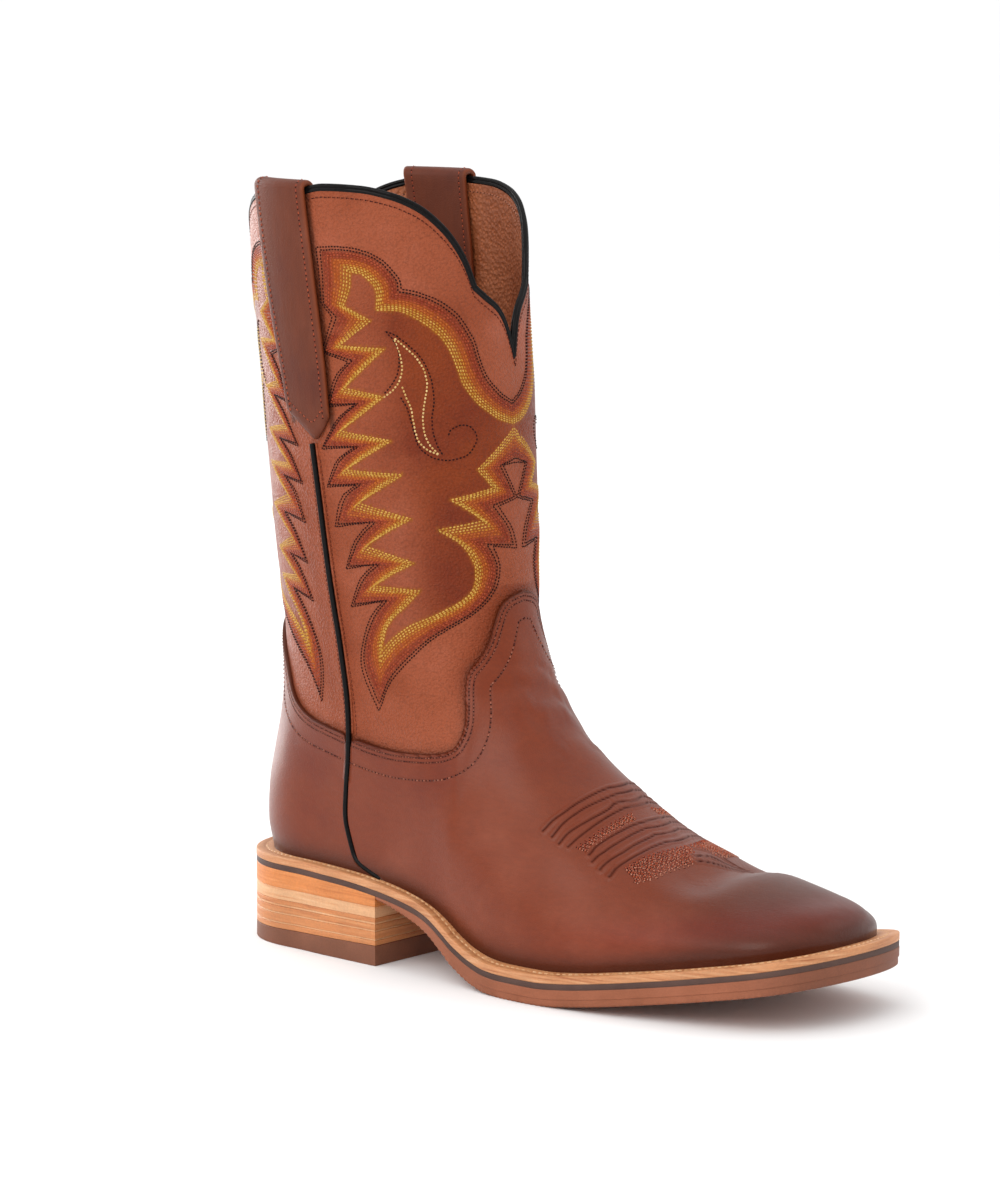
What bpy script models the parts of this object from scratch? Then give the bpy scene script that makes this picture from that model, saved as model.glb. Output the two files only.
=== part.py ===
# Western work boot, right foot, built in metres with +Z up.
# The toe points along +X, the lateral side faces -Y, the ground is z = 0.
# Heights and lengths in the tables are shares of the named sizes below.
import math

import bmesh
import bpy
import numpy as np

# Driving sizes
SOLE_LENGTH = 0.301
BALL_WIDTH = 0.1085
HEEL_LENGTH = 0.089
BED_HEIGHT = 0.037
COLLAR_HEIGHT = 0.310
COLLAR_DIP = 0.066
COLLAR_TURN = 5.0
LEG_LENGTH = 0.120
LEG_WIDTH = 0.102

# Thicknesses and gaps
UPPER_WALL = 0.0022
OVERLAY_WALL = 0.0013
WELT_THICK = 0.0030
MIDSOLE_THICK = 0.0021
GAP = 0.0003
HEEL_CAP_BACK = 0.0060
HEEL_CAP_FRONT = 0.0082
HEEL_ROUND = 0.040
TOE_ROUND = 0.035
WELT_STRIP = 0.0095
INSOLE_THICK = 0.0032
PIPING_WIDTH = 0.0021
COLLAR_BEAD = 0.0011
STRAP_THICK = 0.0022
STRAP_INSIDE = 0.052
STRAP_OUTER_GAP = 0.0007
STRAP_INNER_GAP = 0.0010
FEATHER_BACK = 0.0075
FEATHER_INSET = 0.0052
FEATHER_SPREAD = 0.0026
RIDGE_SHIFT = 0.0030
BELLY = 0.0015
PIPING_PROUD = 0.0019
OUTSOLE_STEP = 0.0004
INSOLE_CLEAR = 0.0018
WELD = 0.00002
SLIVER = 0.00009

# along: share of SOLE_LENGTH, centre and half: shares of BALL_WIDTH
OUTLINE = [
    # along, centre, half
    (0.000, 0.000, 0.337),
    (0.130, 0.000, 0.347),
    (0.200, -0.005, 0.363),
    (0.300, -0.021, 0.371),
    (0.365, -0.037, 0.369),
    (0.450, -0.057, 0.401),
    (0.530, -0.051, 0.452),
    (0.615, -0.029, 0.489),
    (0.700, 0.000, 0.500),
    (0.780, 0.014, 0.477),
    (0.865, 0.017, 0.439),
    (0.930, 0.020, 0.407),
    (1.000, 0.023, 0.378),
]

# along: share of SOLE_LENGTH, the rest: shares of BED_HEIGHT
BED = [
    # along, welt_top, outsole_base
    (0.000, 1.000, 0.800),
    (0.133, 0.995, 0.800),
    (0.233, 0.968, 0.790),
    (0.295, 0.924, 0.735),
    (0.349, 0.851, 0.616),
    (0.392, 0.755, 0.478),
    (0.425, 0.630, 0.320),
    (0.450, 0.515, 0.190),
    (0.482, 0.410, 0.075),
    (0.515, 0.350, 0.012),
    (0.545, 0.335, 0.000),
    (0.605, 0.335, 0.000),
    (0.650, 0.362, 0.028),
    (0.714, 0.432, 0.097),
    (0.797, 0.538, 0.202),
    (0.897, 0.686, 0.345),
    (1.000, 0.850, 0.500),
]

# Stations along the sole, as shares of SOLE_LENGTH
STATIONS = [
    0.0, 0.003, 0.012, 0.030, 0.058, 0.095, 0.14, 0.19, 0.245, 0.2957,
    0.325, 0.352, 0.377, 0.400, 0.422, 0.444, 0.466, 0.489, 0.515, 0.545,
    0.605, 0.650, 0.690, 0.730, 0.770, 0.810, 0.845, 0.875, 0.902, 0.926,
    0.947, 0.965, 0.979, 0.989, 0.996, 1.0,
]

# Back line of the upper, height: share of COLLAR_HEIGHT, along: share of LEG_LENGTH
BACK_LINE = [
    # height, along
    (0.119, 0.062),
    (0.160, 0.040),
    (0.209, 0.042),
    (0.257, 0.058),
    (0.305, 0.079),
    (0.354, 0.092),
    (0.418, 0.092),
    (0.514, 0.079),
    (0.643, 0.062),
    (0.772, 0.037),
    (0.900, 0.008),
    (1.040, -0.008),
]

# Front line from the toe over the vamp and instep up to the collar
FRONT_LINE = [
    # along (SOLE_LENGTH), height (COLLAR_HEIGHT)
    (0.972, 0.100),
    (0.967, 0.122),
    (0.948, 0.139),
    (0.904, 0.1495),
    (0.847, 0.1590),
    (0.781, 0.1685),
    (0.714, 0.1850),
    (0.648, 0.216),
    (0.598, 0.251),
    (0.548, 0.288),
    (0.505, 0.325),
    (0.472, 0.367),
    (0.449, 0.412),
    (0.437, 0.457),
    (0.432, 0.514),
    (0.425, 0.611),
    (0.415, 0.740),
    (0.402, 0.868),
    (0.396, 1.040),
]

# Half width of the leg and heel, half: share of LEG_WIDTH
LEG_HALF = [
    # height, half
    (0.100, 0.345),
    (0.193, 0.353),
    (0.257, 0.363),
    (0.322, 0.377),
    (0.386, 0.392),
    (0.450, 0.407),
    (0.514, 0.422),
    (0.643, 0.451),
    (0.772, 0.476),
    (0.900, 0.494),
    (1.040, 0.500),
]

# Side seam, height: share of COLLAR_HEIGHT, along: share of LEG_LENGTH
SEAM = [
    # height, along
    (0.100, 0.640),
    (0.154, 0.580),
    (0.190, 0.556),
    (0.228, 0.562),
    (0.268, 0.575),
    (0.347, 0.587),
    (0.408, 0.574),
    (0.466, 0.557),
    (0.569, 0.538),
    (0.682, 0.508),
    (1.040, 0.455),
]

# Collar dip: turn in degrees off the front or back centre, dip: share of COLLAR_DIP
COLLAR = [
    # turn, dip
    (0.0, 1.000),
    (2.0, 0.905),
    (5.0, 0.790),
    (9.0, 0.705),
    (17.0, 0.620),
    (22.5, 0.560),
    (24.0, 0.500),
    (28.0, 0.380),
    (36.0, 0.230),
    (47.0, 0.110),
    (58.0, 0.045),
    (70.0, 0.010),
    (90.0, 0.000),
]

# Ring levels: heights as shares of COLLAR_HEIGHT, the last two are weights
LEVELS = [
    # back, front, follow_sole, follow_collar
    (0.1200, 0.1015, 1.00, 0.00),
    (0.1330, 0.1130, 0.96, 0.00),
    (0.1530, 0.1275, 0.88, 0.00),
    (0.1800, 0.1430, 0.76, 0.00),
    (0.2100, 0.1570, 0.62, 0.00),
    (0.2420, 0.1730, 0.48, 0.00),
    (0.2760, 0.1990, 0.34, 0.00),
    (0.3110, 0.2370, 0.23, 0.00),
    (0.3470, 0.2830, 0.14, 0.00),
    (0.3850, 0.3340, 0.08, 0.00),
    (0.4260, 0.3900, 0.03, 0.00),
    (0.4700, 0.4470, 0.00, 0.00),
    (0.5180, 0.5050, 0.00, 0.02),
    (0.5700, 0.5630, 0.00, 0.08),
    (0.6250, 0.6220, 0.00, 0.18),
    (0.6820, 0.6810, 0.00, 0.30),
    (0.7390, 0.7390, 0.00, 0.43),
    (0.7960, 0.7960, 0.00, 0.56),
    (0.8500, 0.8500, 0.00, 0.68),
    (0.9010, 0.9010, 0.00, 0.79),
    (0.9520, 0.9520, 0.00, 0.90),
    (1.0000, 1.0000, 0.00, 1.00),
]

# Columns of the upper, as shares of the girth between centre line and side seam
FRONT_SHARES = [
    0.0, 0.024, 0.048, 0.085, 0.135, 0.19, 0.235, 0.28, 0.34, 0.41, 0.49, 0.57,
    0.65, 0.72, 0.785, 0.845, 0.90, 0.95,
]
BACK_SHARES = [0.0, 0.03, 0.10, 0.19, 0.28, 0.38, 0.50, 0.64, 0.82]

# Edge of vamp, tongue and counter: turn in degrees from the front about the leg axis
EDGE = [
    # turn, height (COLLAR_HEIGHT)
    (0.0, 0.489),
    (6.0, 0.484),
    (10.7, 0.472),
    (13.5, 0.449),
    (16.0, 0.428),
    (20.6, 0.405),
    (24.6, 0.389),
    (26.0, 0.372),
    (26.6, 0.352),
    (27.8, 0.328),
    (29.8, 0.309),
    (32.5, 0.294),
    (37.0, 0.287),
    (44.0, 0.284),
    (54.0, 0.283),
    (68.0, 0.286),
    (86.0, 0.292),
    (108.0, 0.300),
    (126.0, 0.308),
    (138.0, 0.321),
    (146.5, 0.343),
    (151.0, 0.372),
    (160.0, 0.408),
    (170.0, 0.428),
    (180.0, 0.434),
]

# Outline of the pull strap on the lateral side
STRAP = [
    # height (COLLAR_HEIGHT), back and front edge (LEG_LENGTH)
    (0.700, 0.413, 0.596),
    (0.760, 0.385, 0.588),
    (0.900, 0.310, 0.550),
    (1.000, 0.262, 0.515),
    (1.060, 0.240, 0.500),
]
STRAP_END = [
    # across, height (COLLAR_HEIGHT)
    (0.00, 0.716),
    (0.30, 0.700),
    (0.64, 0.682),
    (0.84, 0.698),
    (1.00, 0.716),
]

SEAM_HEIGHTS = np.linspace(0.0, 0.678 * COLLAR_HEIGHT, 25)
SEAM_AXIS = 0.583 * LEG_LENGTH
STEP_ALONG = 0.0027 * SOLE_LENGTH
OVERLAY_RINGS = list(range(14))
COLLECTION = "western_work_boot"


def rows(table, x_column, y_column, x_scale, y_scale):
    """Pick two named columns of a table as sorted, scaled arrays."""
    picked = sorted((r[x_column] * x_scale, r[y_column] * y_scale) for r in table)
    return np.array([p[0] for p in picked]), np.array([p[1] for p in picked])


def smooth_curve(xs, ys, x):
    """Monotone cubic through the rows of a table."""
    gap = np.diff(xs)
    rise = np.diff(ys) / gap
    slope = np.empty_like(ys)
    slope[0] = rise[0]
    slope[-1] = rise[-1]
    for i in range(1, len(xs) - 1):
        if rise[i - 1] * rise[i] <= 0:
            slope[i] = 0.0
        else:
            a = 2 * gap[i] + gap[i - 1]
            b = gap[i] + 2 * gap[i - 1]
            slope[i] = 3 * (gap[i] + gap[i - 1]) / (a / rise[i - 1] + b / rise[i])
    x = np.clip(x, xs[0], xs[-1])
    i = np.clip(np.searchsorted(xs, x, side="right") - 1, 0, len(xs) - 2)
    t = (x - xs[i]) / gap[i]
    low = (2 * t ** 3 - 3 * t ** 2 + 1) * ys[i] + (t ** 3 - 2 * t ** 2 + t) * gap[i] * slope[i]
    high = (3 * t ** 2 - 2 * t ** 3) * ys[i + 1] + (t ** 3 - t ** 2) * gap[i] * slope[i + 1]
    return low + high


def ease(low, high, x):
    t = np.clip((x - low) / (high - low), 0.0, 1.0)
    return t * t * (3 - 2 * t)


OUT_CENTRE = rows(OUTLINE, 0, 1, SOLE_LENGTH, BALL_WIDTH)
OUT_HALF = rows(OUTLINE, 0, 2, SOLE_LENGTH, BALL_WIDTH)
BED_TOP = rows(BED, 0, 1, SOLE_LENGTH, BED_HEIGHT)
BED_BASE = rows(BED, 0, 2, SOLE_LENGTH, BED_HEIGHT)
BACK_ROWS = rows(BACK_LINE, 0, 1, COLLAR_HEIGHT, LEG_LENGTH)
FRONT_BY_HEIGHT = rows(FRONT_LINE, 1, 0, COLLAR_HEIGHT, SOLE_LENGTH)
FRONT_BY_ALONG = rows(FRONT_LINE, 0, 1, SOLE_LENGTH, COLLAR_HEIGHT)
LEG_ROWS = rows(LEG_HALF, 0, 1, COLLAR_HEIGHT, LEG_WIDTH)
SEAM_ROWS = rows(SEAM, 0, 1, COLLAR_HEIGHT, LEG_LENGTH)
COLLAR_ROWS = rows(COLLAR, 0, 1, 1.0, COLLAR_DIP)
EDGE_ROWS = rows(EDGE, 0, 1, 1.0, COLLAR_HEIGHT)
STRAP_BACK = rows(STRAP, 0, 1, COLLAR_HEIGHT, LEG_LENGTH)
STRAP_FRONT = rows(STRAP, 0, 2, COLLAR_HEIGHT, LEG_LENGTH)
STRAP_ENDS = rows(STRAP_END, 0, 1, 1.0, COLLAR_HEIGHT)

STATION_X = np.array(STATIONS) * SOLE_LENGTH
STATION_TOP = smooth_curve(*BED_TOP, STATION_X)
STATION_BASE = smooth_curve(*BED_BASE, STATION_X)

FEATHER_FRONT = 0.972 * SOLE_LENGTH


def bed_top(x):
    """Height of the welt's top face at a place along the boot."""
    return np.interp(x, STATION_X, STATION_TOP)


def rim_height(x):
    """Lower rim of the upper, lifted a little more over the bend of the waist."""
    share = x / SOLE_LENGTH
    bend = ease(0.282, 0.332, share) * (1 - ease(0.399, 0.449, share))
    return bed_top(x) + GAP * (1 + bend)


def outsole_base(x):
    return np.interp(x, STATION_X, STATION_BASE)


def round_off(x, length):
    """1 along the sole, falling to 0 at the rounded heel and the square toe."""
    back = np.clip((HEEL_ROUND - x) / HEEL_ROUND, 0.0, 1.0)
    front = np.clip((x - length + TOE_ROUND) / TOE_ROUND, 0.0, 1.0)
    heel = np.sqrt(np.clip(1 - back ** 2.6, 0.0, 1.0))
    toe = np.sqrt(np.clip(1 - front ** 3.0, 0.0, 1.0))
    return heel * toe


def sole_sides(x, inset=0.0, start=0.0, end=SOLE_LENGTH):
    """Lateral and medial y of the sole outline, drawn in by an inset."""
    centre = smooth_curve(*OUT_CENTRE, x)
    half = smooth_curve(*OUT_HALF, x) - inset
    local = (x - start) / (end - start) * SOLE_LENGTH
    half = half * round_off(local, SOLE_LENGTH)
    return centre - half, centre + half


def feather_inset(x):
    """How far the upper meets the welt inside its edge."""
    return FEATHER_INSET + FEATHER_SPREAD * ease(0.25, 0.85, x / SOLE_LENGTH)


def foot_half(x, side):
    centre = smooth_curve(*OUT_CENTRE, x)
    half = smooth_curve(*OUT_HALF, x) - feather_inset(x)
    local = (x - FEATHER_BACK) / (FEATHER_FRONT - FEATHER_BACK) * SOLE_LENGTH
    return half * round_off(local, SOLE_LENGTH) + side * centre


def back_at(z):
    return smooth_curve(*BACK_ROWS, z)


def front_at(z):
    return smooth_curve(*FRONT_BY_HEIGHT, z)


def ridge_at(x):
    return smooth_curve(*FRONT_BY_ALONG, x)


def ridge_shift(x):
    return RIDGE_SHIFT * ease(0.4, 0.7, x / SOLE_LENGTH)


def half_width(x, z, side):
    """Distance of the upper from its ridge plane at a place of the side view."""
    back = back_at(z)
    front = front_at(z)
    share = np.clip((x - back) / (front - back), 0.0, 1.0)
    leg = smooth_curve(*LEG_ROWS, z) * np.sqrt(4 * share * (1 - share))
    near_heel = 1 - ease(0.0, 0.266, x / SOLE_LENGTH)
    foot = foot_half(x - (back - FEATHER_BACK) * near_heel, side) - side * ridge_shift(x)
    base = bed_top(x)
    top = np.maximum(ridge_at(x), z + 1e-6)
    rise = np.clip((z - base) / (top - base), 0.0, 1.0)
    belly = BELLY * np.sin(np.pi * np.clip(1.6 * rise, 0.0, 1.0))
    dome = np.sqrt(np.clip(1 - rise ** 2.4, 0.0, 1.0))
    foot = (foot + belly * ease(0.0, 8 * BELLY, foot)) * dome
    up = ease(0.161, 0.387, z / COLLAR_HEIGHT)
    return foot * (1 - up) + leg * up, ridge_shift(x) * (1 - up)


def collar_dip(turn, side):
    """Dip of the collar below its sides, turn in radians from the back."""
    front = np.abs(np.pi - side * math.radians(COLLAR_TURN) - turn)
    off = np.degrees(np.minimum(turn, front))
    return np.interp(off, *COLLAR_ROWS)


def dense_ring(level, side, count=361):
    """One closed half ring of the upper's outer face, from back to front."""
    back, front, sole, collar = level
    turn = np.linspace(0.0, np.pi, count)
    share = (1 - np.cos(turn)) / 2
    z_back = back * COLLAR_HEIGHT
    z_front = front * COLLAR_HEIGHT
    straight = z_back + (z_front - z_back) * share
    low_back = bed_top(FEATHER_BACK)
    low_front = bed_top(FEATHER_FRONT)
    z = straight - collar * collar_dip(turn, side)
    x = back_at(z) + (front_at(z) - back_at(z)) * share
    for _ in range(3):
        chord = low_back + (low_front - low_back) * share
        z = straight + sole * (bed_top(x) - chord) - collar * collar_dip(turn, side)
        x = back_at(z) + (front_at(z) - back_at(z)) * share
    half, shift = half_width(x, z, side)
    half[0] = 0.0
    half[-1] = 0.0
    return np.column_stack([x, shift + side * half, z])


def ring(level, side, shift=0.0):
    """Half ring at the chosen columns, spread by girth from back to front."""
    points = dense_ring(level, side)
    step = np.hypot(np.diff(points[:, 0]), np.diff(points[:, 1]))
    girth = np.concatenate([[0.0], np.cumsum(step)])
    ahead = points[:, 0] - smooth_curve(*SEAM_ROWS, points[:, 2])
    seam = np.interp(0.0, ahead[30:-30], girth[30:-30])
    back = seam * np.array(BACK_SHARES)
    front = girth[-1] - (girth[-1] - seam) * np.array(FRONT_SHARES)[::-1]
    places = np.clip(np.concatenate([back, [seam], front]) + shift, 0.0, girth[-1])
    return np.column_stack([np.interp(places, girth, points[:, i]) for i in range(3)])


def blend_level(position):
    """Level row at a fractional position in the LEVELS table."""
    table = np.array(LEVELS)
    index = np.arange(len(table))
    return tuple(np.interp(position, index, table[:, i]) for i in range(4))


def full_ring(level, shift=0.0):
    """Closed ring: lateral side from back to front, then medial back again."""
    lateral = ring(level, -1, shift)
    medial = ring(level, 1, shift)
    return np.vstack([lateral, medial[-2:0:-1]])


def upper_grid(positions, offset=0.0):
    """Rings of the upper's outer face moved outward by an offset."""
    grid = np.array([full_ring(blend_level(p)) for p in positions])
    count = grid.shape[1]
    half = count // 2
    normals = np.empty_like(grid)
    last = len(LEVELS) - 1
    for k, p in enumerate(positions):
        above = full_ring(blend_level(min(p + 0.05, last)))
        below = full_ring(blend_level(max(p - 0.05, 0.0)))
        ahead = full_ring(blend_level(p), STEP_ALONG)
        behind = full_ring(blend_level(p), -STEP_ALONG)
        along = ahead - behind
        along[half + 1:] *= -1
        along[0] = (0.0, -1.0, 0.0)
        along[half] = (0.0, 1.0, 0.0)
        normal = np.cross(along, above - below)
        normals[k] = normal / np.linalg.norm(normal, axis=1)[:, None]
    sink = (OVERLAY_WALL + GAP) * (1 - ease(10.0, 13.5, np.array(positions, float)))
    return grid + normals * (offset - sink[:, None, None])


def face_outward(work):
    """Turn all faces of a closed mesh outward."""
    bmesh.ops.recalc_face_normals(work, faces=work.faces)
    if work.calc_volume(signed=True) < 0:
        bmesh.ops.reverse_faces(work, faces=work.faces)


def make_object(name, vertices, faces, material, parent):
    """Mesh object with outward normals, parented to the boot's root."""
    mesh = bpy.data.meshes.new(name)
    mesh.from_pydata([tuple(v) for v in vertices], [], faces)
    mesh.validate()
    work = bmesh.new()
    work.from_mesh(mesh)
    bmesh.ops.remove_doubles(work, verts=work.verts, dist=WELD)
    face_outward(work)
    work.to_mesh(mesh)
    work.free()
    mesh.materials.append(material)
    thing = bpy.data.objects.new(name, mesh)
    bpy.data.collections[COLLECTION].objects.link(thing)
    thing.parent = parent
    return thing


def ring_faces(first, second, count):
    """Quads between two closed rings given by their first vertex."""
    return [
        (first + i, first + (i + 1) % count, second + (i + 1) % count, second + i)
        for i in range(count)
    ]


def ring_triangles(first, second, count):
    """The quads of ring_faces, all split along the same diagonal."""
    faces = []
    for a, b, c, d in ring_faces(first, second, count):
        faces += [(a, b, c), (a, c, d)]
    return faces


def strip_faces(first, count, flip=False):
    """Quads and end triangles across a closed ring, side to side."""
    half = count // 2
    faces = [(first, first + 1, first + count - 1)]
    for i in range(1, half - 1):
        faces.append((first + i, first + i + 1, first + count - i - 1, first + count - i))
    faces.append((first + half - 1, first + half, first + half + 1))
    if flip:
        faces = [tuple(reversed(f)) for f in faces]
    return faces


def build_upper(material, parent):
    """Hollow upper: outer rings, inner rings one wall inside, two open rims."""
    positions = list(range(len(LEVELS)))
    outer = upper_grid(positions)
    inner = upper_grid(positions, -UPPER_WALL)
    outer[0, :, 2] = rim_height(outer[0, :, 0])
    inner[0, :, 2] = rim_height(inner[0, :, 0])
    levels, count, _ = outer.shape
    vertices = np.vstack([outer.reshape(-1, 3), inner.reshape(-1, 3)])
    start = levels * count
    faces = []
    for k in range(levels - 1):
        faces += ring_triangles(k * count, (k + 1) * count, count)
        inside = ring_triangles(start + k * count, start + (k + 1) * count, count)
        faces += [tuple(reversed(f)) for f in inside]
    faces += ring_faces((levels - 1) * count, start + (levels - 1) * count, count)
    faces += ring_faces(start, 0, count)
    return make_object("upper", vertices, faces, material, parent)


def build_form(name, offset, positions, drop, material, parent):
    """Closed form on the upper's own rings, used to cut the overlays."""
    grid = upper_grid(positions, offset)
    foot = grid[0].copy()
    foot[:, 2] = rim_height(foot[:, 0]) - drop
    grid[0] = foot
    levels, count, _ = grid.shape
    faces = []
    for k in range(levels - 1):
        faces += ring_triangles(k * count, (k + 1) * count, count)
    faces += strip_faces(0, count, flip=True)
    faces += strip_faces((levels - 1) * count, count)
    return make_object(name, grid.reshape(-1, 3), faces, material, parent)


def build_skirt(name, material, parent):
    """Cutter below the edge of vamp, tongue and counter, ruled from the leg axis."""
    turns = list(EDGE_ROWS[0])
    heights = list(EDGE_ROWS[1])
    full_turns = turns + [360.0 - t for t in turns[-2:0:-1]]
    full_heights = heights + heights[-2:0:-1]
    vertices = []
    shares = [0.033, 0.167, 0.233, 0.300, 0.383, 0.483, 0.617, 0.833, 1.333, 2.667]
    radii = [LEG_LENGTH * share for share in shares]
    loops = [(r, False) for r in radii] + [(radii[-1], True), (radii[0], True)]
    for radius, low in loops:
        for turn, height in zip(full_turns, full_heights):
            angle = math.radians(turn)
            x = SEAM_AXIS + radius * math.cos(angle)
            y = -radius * math.sin(angle)
            vertices.append((x, y, -BED_HEIGHT if low else height))
    count = len(full_turns)
    faces = []
    for k in range(len(loops)):
        faces += ring_triangles(k * count, ((k + 1) % len(loops)) * count, count)
    return make_object(name, vertices, faces, material, parent)


def build_side_block(name, ahead, material, parent):
    """Cutter on one side of the seam line, clear of the piping."""
    heights = SEAM_HEIGHTS
    clear = PIPING_WIDTH / 2 + 2 * GAP
    line = smooth_curve(*SEAM_ROWS, heights)
    edge = line + clear if ahead else line - clear
    far = 1.3 * SOLE_LENGTH if ahead else -0.3 * SOLE_LENGTH
    vertices = []
    for y in (-BALL_WIDTH, BALL_WIDTH):
        vertices += [(x, y, z) for x, z in zip(edge, heights)]
        vertices += [(far, y, z) for z in heights]
    n = len(heights)
    faces = []
    for base in (0, 2 * n):
        for i in range(n - 1):
            faces.append((base + i, base + i + 1, base + n + i + 1, base + n + i))
    for i in range(n - 1):
        faces.append((i, i + 1, 2 * n + i + 1, 2 * n + i))
        faces.append((n + i, n + i + 1, 3 * n + i + 1, 3 * n + i))
    faces.append((0, n, 3 * n, 2 * n))
    faces.append((n - 1, 2 * n - 1, 4 * n - 1, 3 * n - 1))
    return make_object(name, vertices, faces, material, parent)


def cut(target, tool, operation):
    """Apply one exact Boolean and keep the result as the object's mesh."""
    modifier = target.modifiers.new(operation.lower(), "BOOLEAN")
    modifier.solver = "EXACT"
    modifier.operation = operation
    modifier.object = tool
    graph = bpy.context.evaluated_depsgraph_get()
    graph.update()
    fresh = bpy.data.meshes.new_from_object(target.evaluated_get(graph))
    target.modifiers.clear()
    target.data = fresh


def drop_crumbs(work):
    """Keep only the largest connected piece of a cut."""
    seen = set()
    pieces = []
    for start in work.faces:
        if start in seen:
            continue
        piece = [start]
        seen.add(start)
        for face in piece:
            for edge in face.edges:
                if len(edge.link_faces) != 2:
                    continue
                for other in edge.link_faces:
                    if other not in seen:
                        seen.add(other)
                        piece.append(other)
        pieces.append(piece)
    pieces.sort(key=len)
    crumbs = [f for piece in pieces[:-1] for f in piece]
    if crumbs:
        bmesh.ops.delete(work, geom=crumbs, context="FACES")


def tidy_mesh(thing):
    work = bmesh.new()
    work.from_mesh(thing.data)
    bmesh.ops.remove_doubles(work, verts=work.verts, dist=SLIVER)
    bmesh.ops.dissolve_degenerate(work, edges=work.edges, dist=SLIVER)
    bmesh.ops.triangulate(work, faces=work.faces)
    drop_crumbs(work)
    face_outward(work)
    work.to_mesh(thing.data)
    work.free()


def build_overlay(name, ahead, material, parent):
    """Leather layer between two larger forms, cut to its drawn edge."""
    layer = build_form(name, GAP + OVERLAY_WALL, OVERLAY_RINGS, 0.0, material, parent)
    core = build_form(name + "_core", GAP, OVERLAY_RINGS, 3 * OVERLAY_WALL, material, parent)
    skirt = build_skirt(name + "_skirt", material, parent)
    block = build_side_block(name + "_block", ahead, material, parent)
    for tool, operation in ((core, "DIFFERENCE"), (skirt, "INTERSECT"), (block, "INTERSECT")):
        cut(layer, tool, operation)
    for tool in (core, skirt, block):
        mesh = tool.data
        bpy.data.objects.remove(tool)
        bpy.data.meshes.remove(mesh)
    tidy_mesh(layer)
    return layer


def sole_loop(inset, low, high, heights):
    """Closed loop of outline points between two places along the sole."""
    x = low + STATION_X / SOLE_LENGTH * (high - low)
    lateral, medial = sole_sides(x, inset, low, high)
    z = heights(x)
    left = np.column_stack([x, lateral, z])
    right = np.column_stack([x, medial, z])
    return left, right


def plate(name, loops, material, parent):
    """Solid through a stack of side pairs, closed by strips at both ends."""
    rings = []
    for left, right in loops:
        rings.append(np.vstack([left, right[::-1]]))
    count = len(rings[0])
    vertices = np.vstack(rings)
    faces = []
    for k in range(len(rings) - 1):
        faces += ring_faces(k * count, (k + 1) * count, count)
    half = count // 2
    for base, flip in ((0, True), ((len(rings) - 1) * count, False)):
        for i in range(half - 1):
            quad = (base + i, base + i + 1, base + count - i - 2, base + count - i - 1)
            faces.append(tuple(reversed(quad)) if flip else quad)
    return make_object(name, vertices, faces, material, parent)


def build_welt(material, parent):
    """Strip round the whole boot under the edge of the upper."""
    rings = []
    for inset, drop in ((0.0, 0.0), (0.0, WELT_THICK), (WELT_STRIP, WELT_THICK), (WELT_STRIP, 0.0)):
        low = inset
        high = SOLE_LENGTH - inset
        left, right = sole_loop(inset, low, high, lambda x: bed_top(x) - drop)
        rings.append(np.vstack([left, right[-2:0:-1]]))
    count = len(rings[0])
    faces = []
    for k in range(4):
        faces += ring_faces(k * count, ((k + 1) % 4) * count, count)
    return make_object("welt", np.vstack(rings), faces, material, parent)


def build_midsole(material, parent):
    top = WELT_THICK + GAP
    loops = []
    for drop in (top + MIDSOLE_THICK, top):
        loops.append(sole_loop(0.0, 0.0, SOLE_LENGTH, lambda x: bed_top(x) - drop))
    return plate("midsole", loops, material, parent)


def build_outsole(material, parent):
    """Rubber forepart from the heel breast to the toe, with a low side step."""
    drop = WELT_THICK + MIDSOLE_THICK + 2 * GAP
    start = HEEL_LENGTH + GAP

    def top(x):
        return bed_top(x) - drop

    def middle(x):
        return 0.45 * top(x) + 0.55 * outsole_base(x)

    sides = [
        # pull, heights
        (OUTSOLE_STEP, outsole_base),
        (OUTSOLE_STEP, middle),
        (0.0, middle),
        (0.0, top),
    ]
    loops = []
    for pull, heights in sides:
        x = STATION_X[STATION_X > start + WELT_THICK / 3]
        x = np.concatenate([[start], x])
        lateral, medial = sole_sides(x)
        centre = (lateral + medial) / 2
        share = 1 - pull / np.maximum((medial - lateral) / 2, 10 * OUTSOLE_STEP)
        left = np.column_stack([x, centre + (lateral - centre) * share, heights(x)])
        right = np.column_stack([x, centre + (medial - centre) * share, heights(x)])
        loops.append((left, right))
    return plate("outsole", loops, material, parent)


def cap_top(x):
    return HEEL_CAP_BACK + (HEEL_CAP_FRONT - HEEL_CAP_BACK) * x / HEEL_LENGTH


def heel_loop(heights):
    x = STATION_X[STATION_X < HEEL_LENGTH - GAP]
    x = np.append(x, HEEL_LENGTH)
    lateral, medial = sole_sides(x)
    z = heights(x)
    return np.column_stack([x, lateral, z]), np.column_stack([x, medial, z])


def build_heel_stack(material, parent):
    drop = WELT_THICK + MIDSOLE_THICK + 2 * GAP
    low = heel_loop(lambda x: cap_top(x) + GAP)
    high = heel_loop(lambda x: bed_top(x) - drop)
    return plate("heel_stack", [low, high], material, parent)


def build_heel_cap(material, parent):
    low = heel_loop(lambda x: 0.0 * x)
    high = heel_loop(cap_top)
    return plate("heel_cap", [low, high], material, parent)


def build_insole(material, parent):
    """Footbed inside the upper, deep enough to fill the welt's ring."""
    inside = UPPER_WALL + OVERLAY_WALL + INSOLE_CLEAR
    low = FEATHER_BACK + inside
    high = FEATHER_FRONT - inside
    x = low + STATION_X / SOLE_LENGTH * (high - low)
    lateral, medial = sole_sides(x, feather_inset(x) + inside, low, high)
    loops = []
    for height in (-WELT_THICK, INSOLE_THICK):
        z = bed_top(x) + height
        loops.append((np.column_stack([x, lateral, z]), np.column_stack([x, medial, z])))
    return plate("insole", loops, material, parent)


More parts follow.
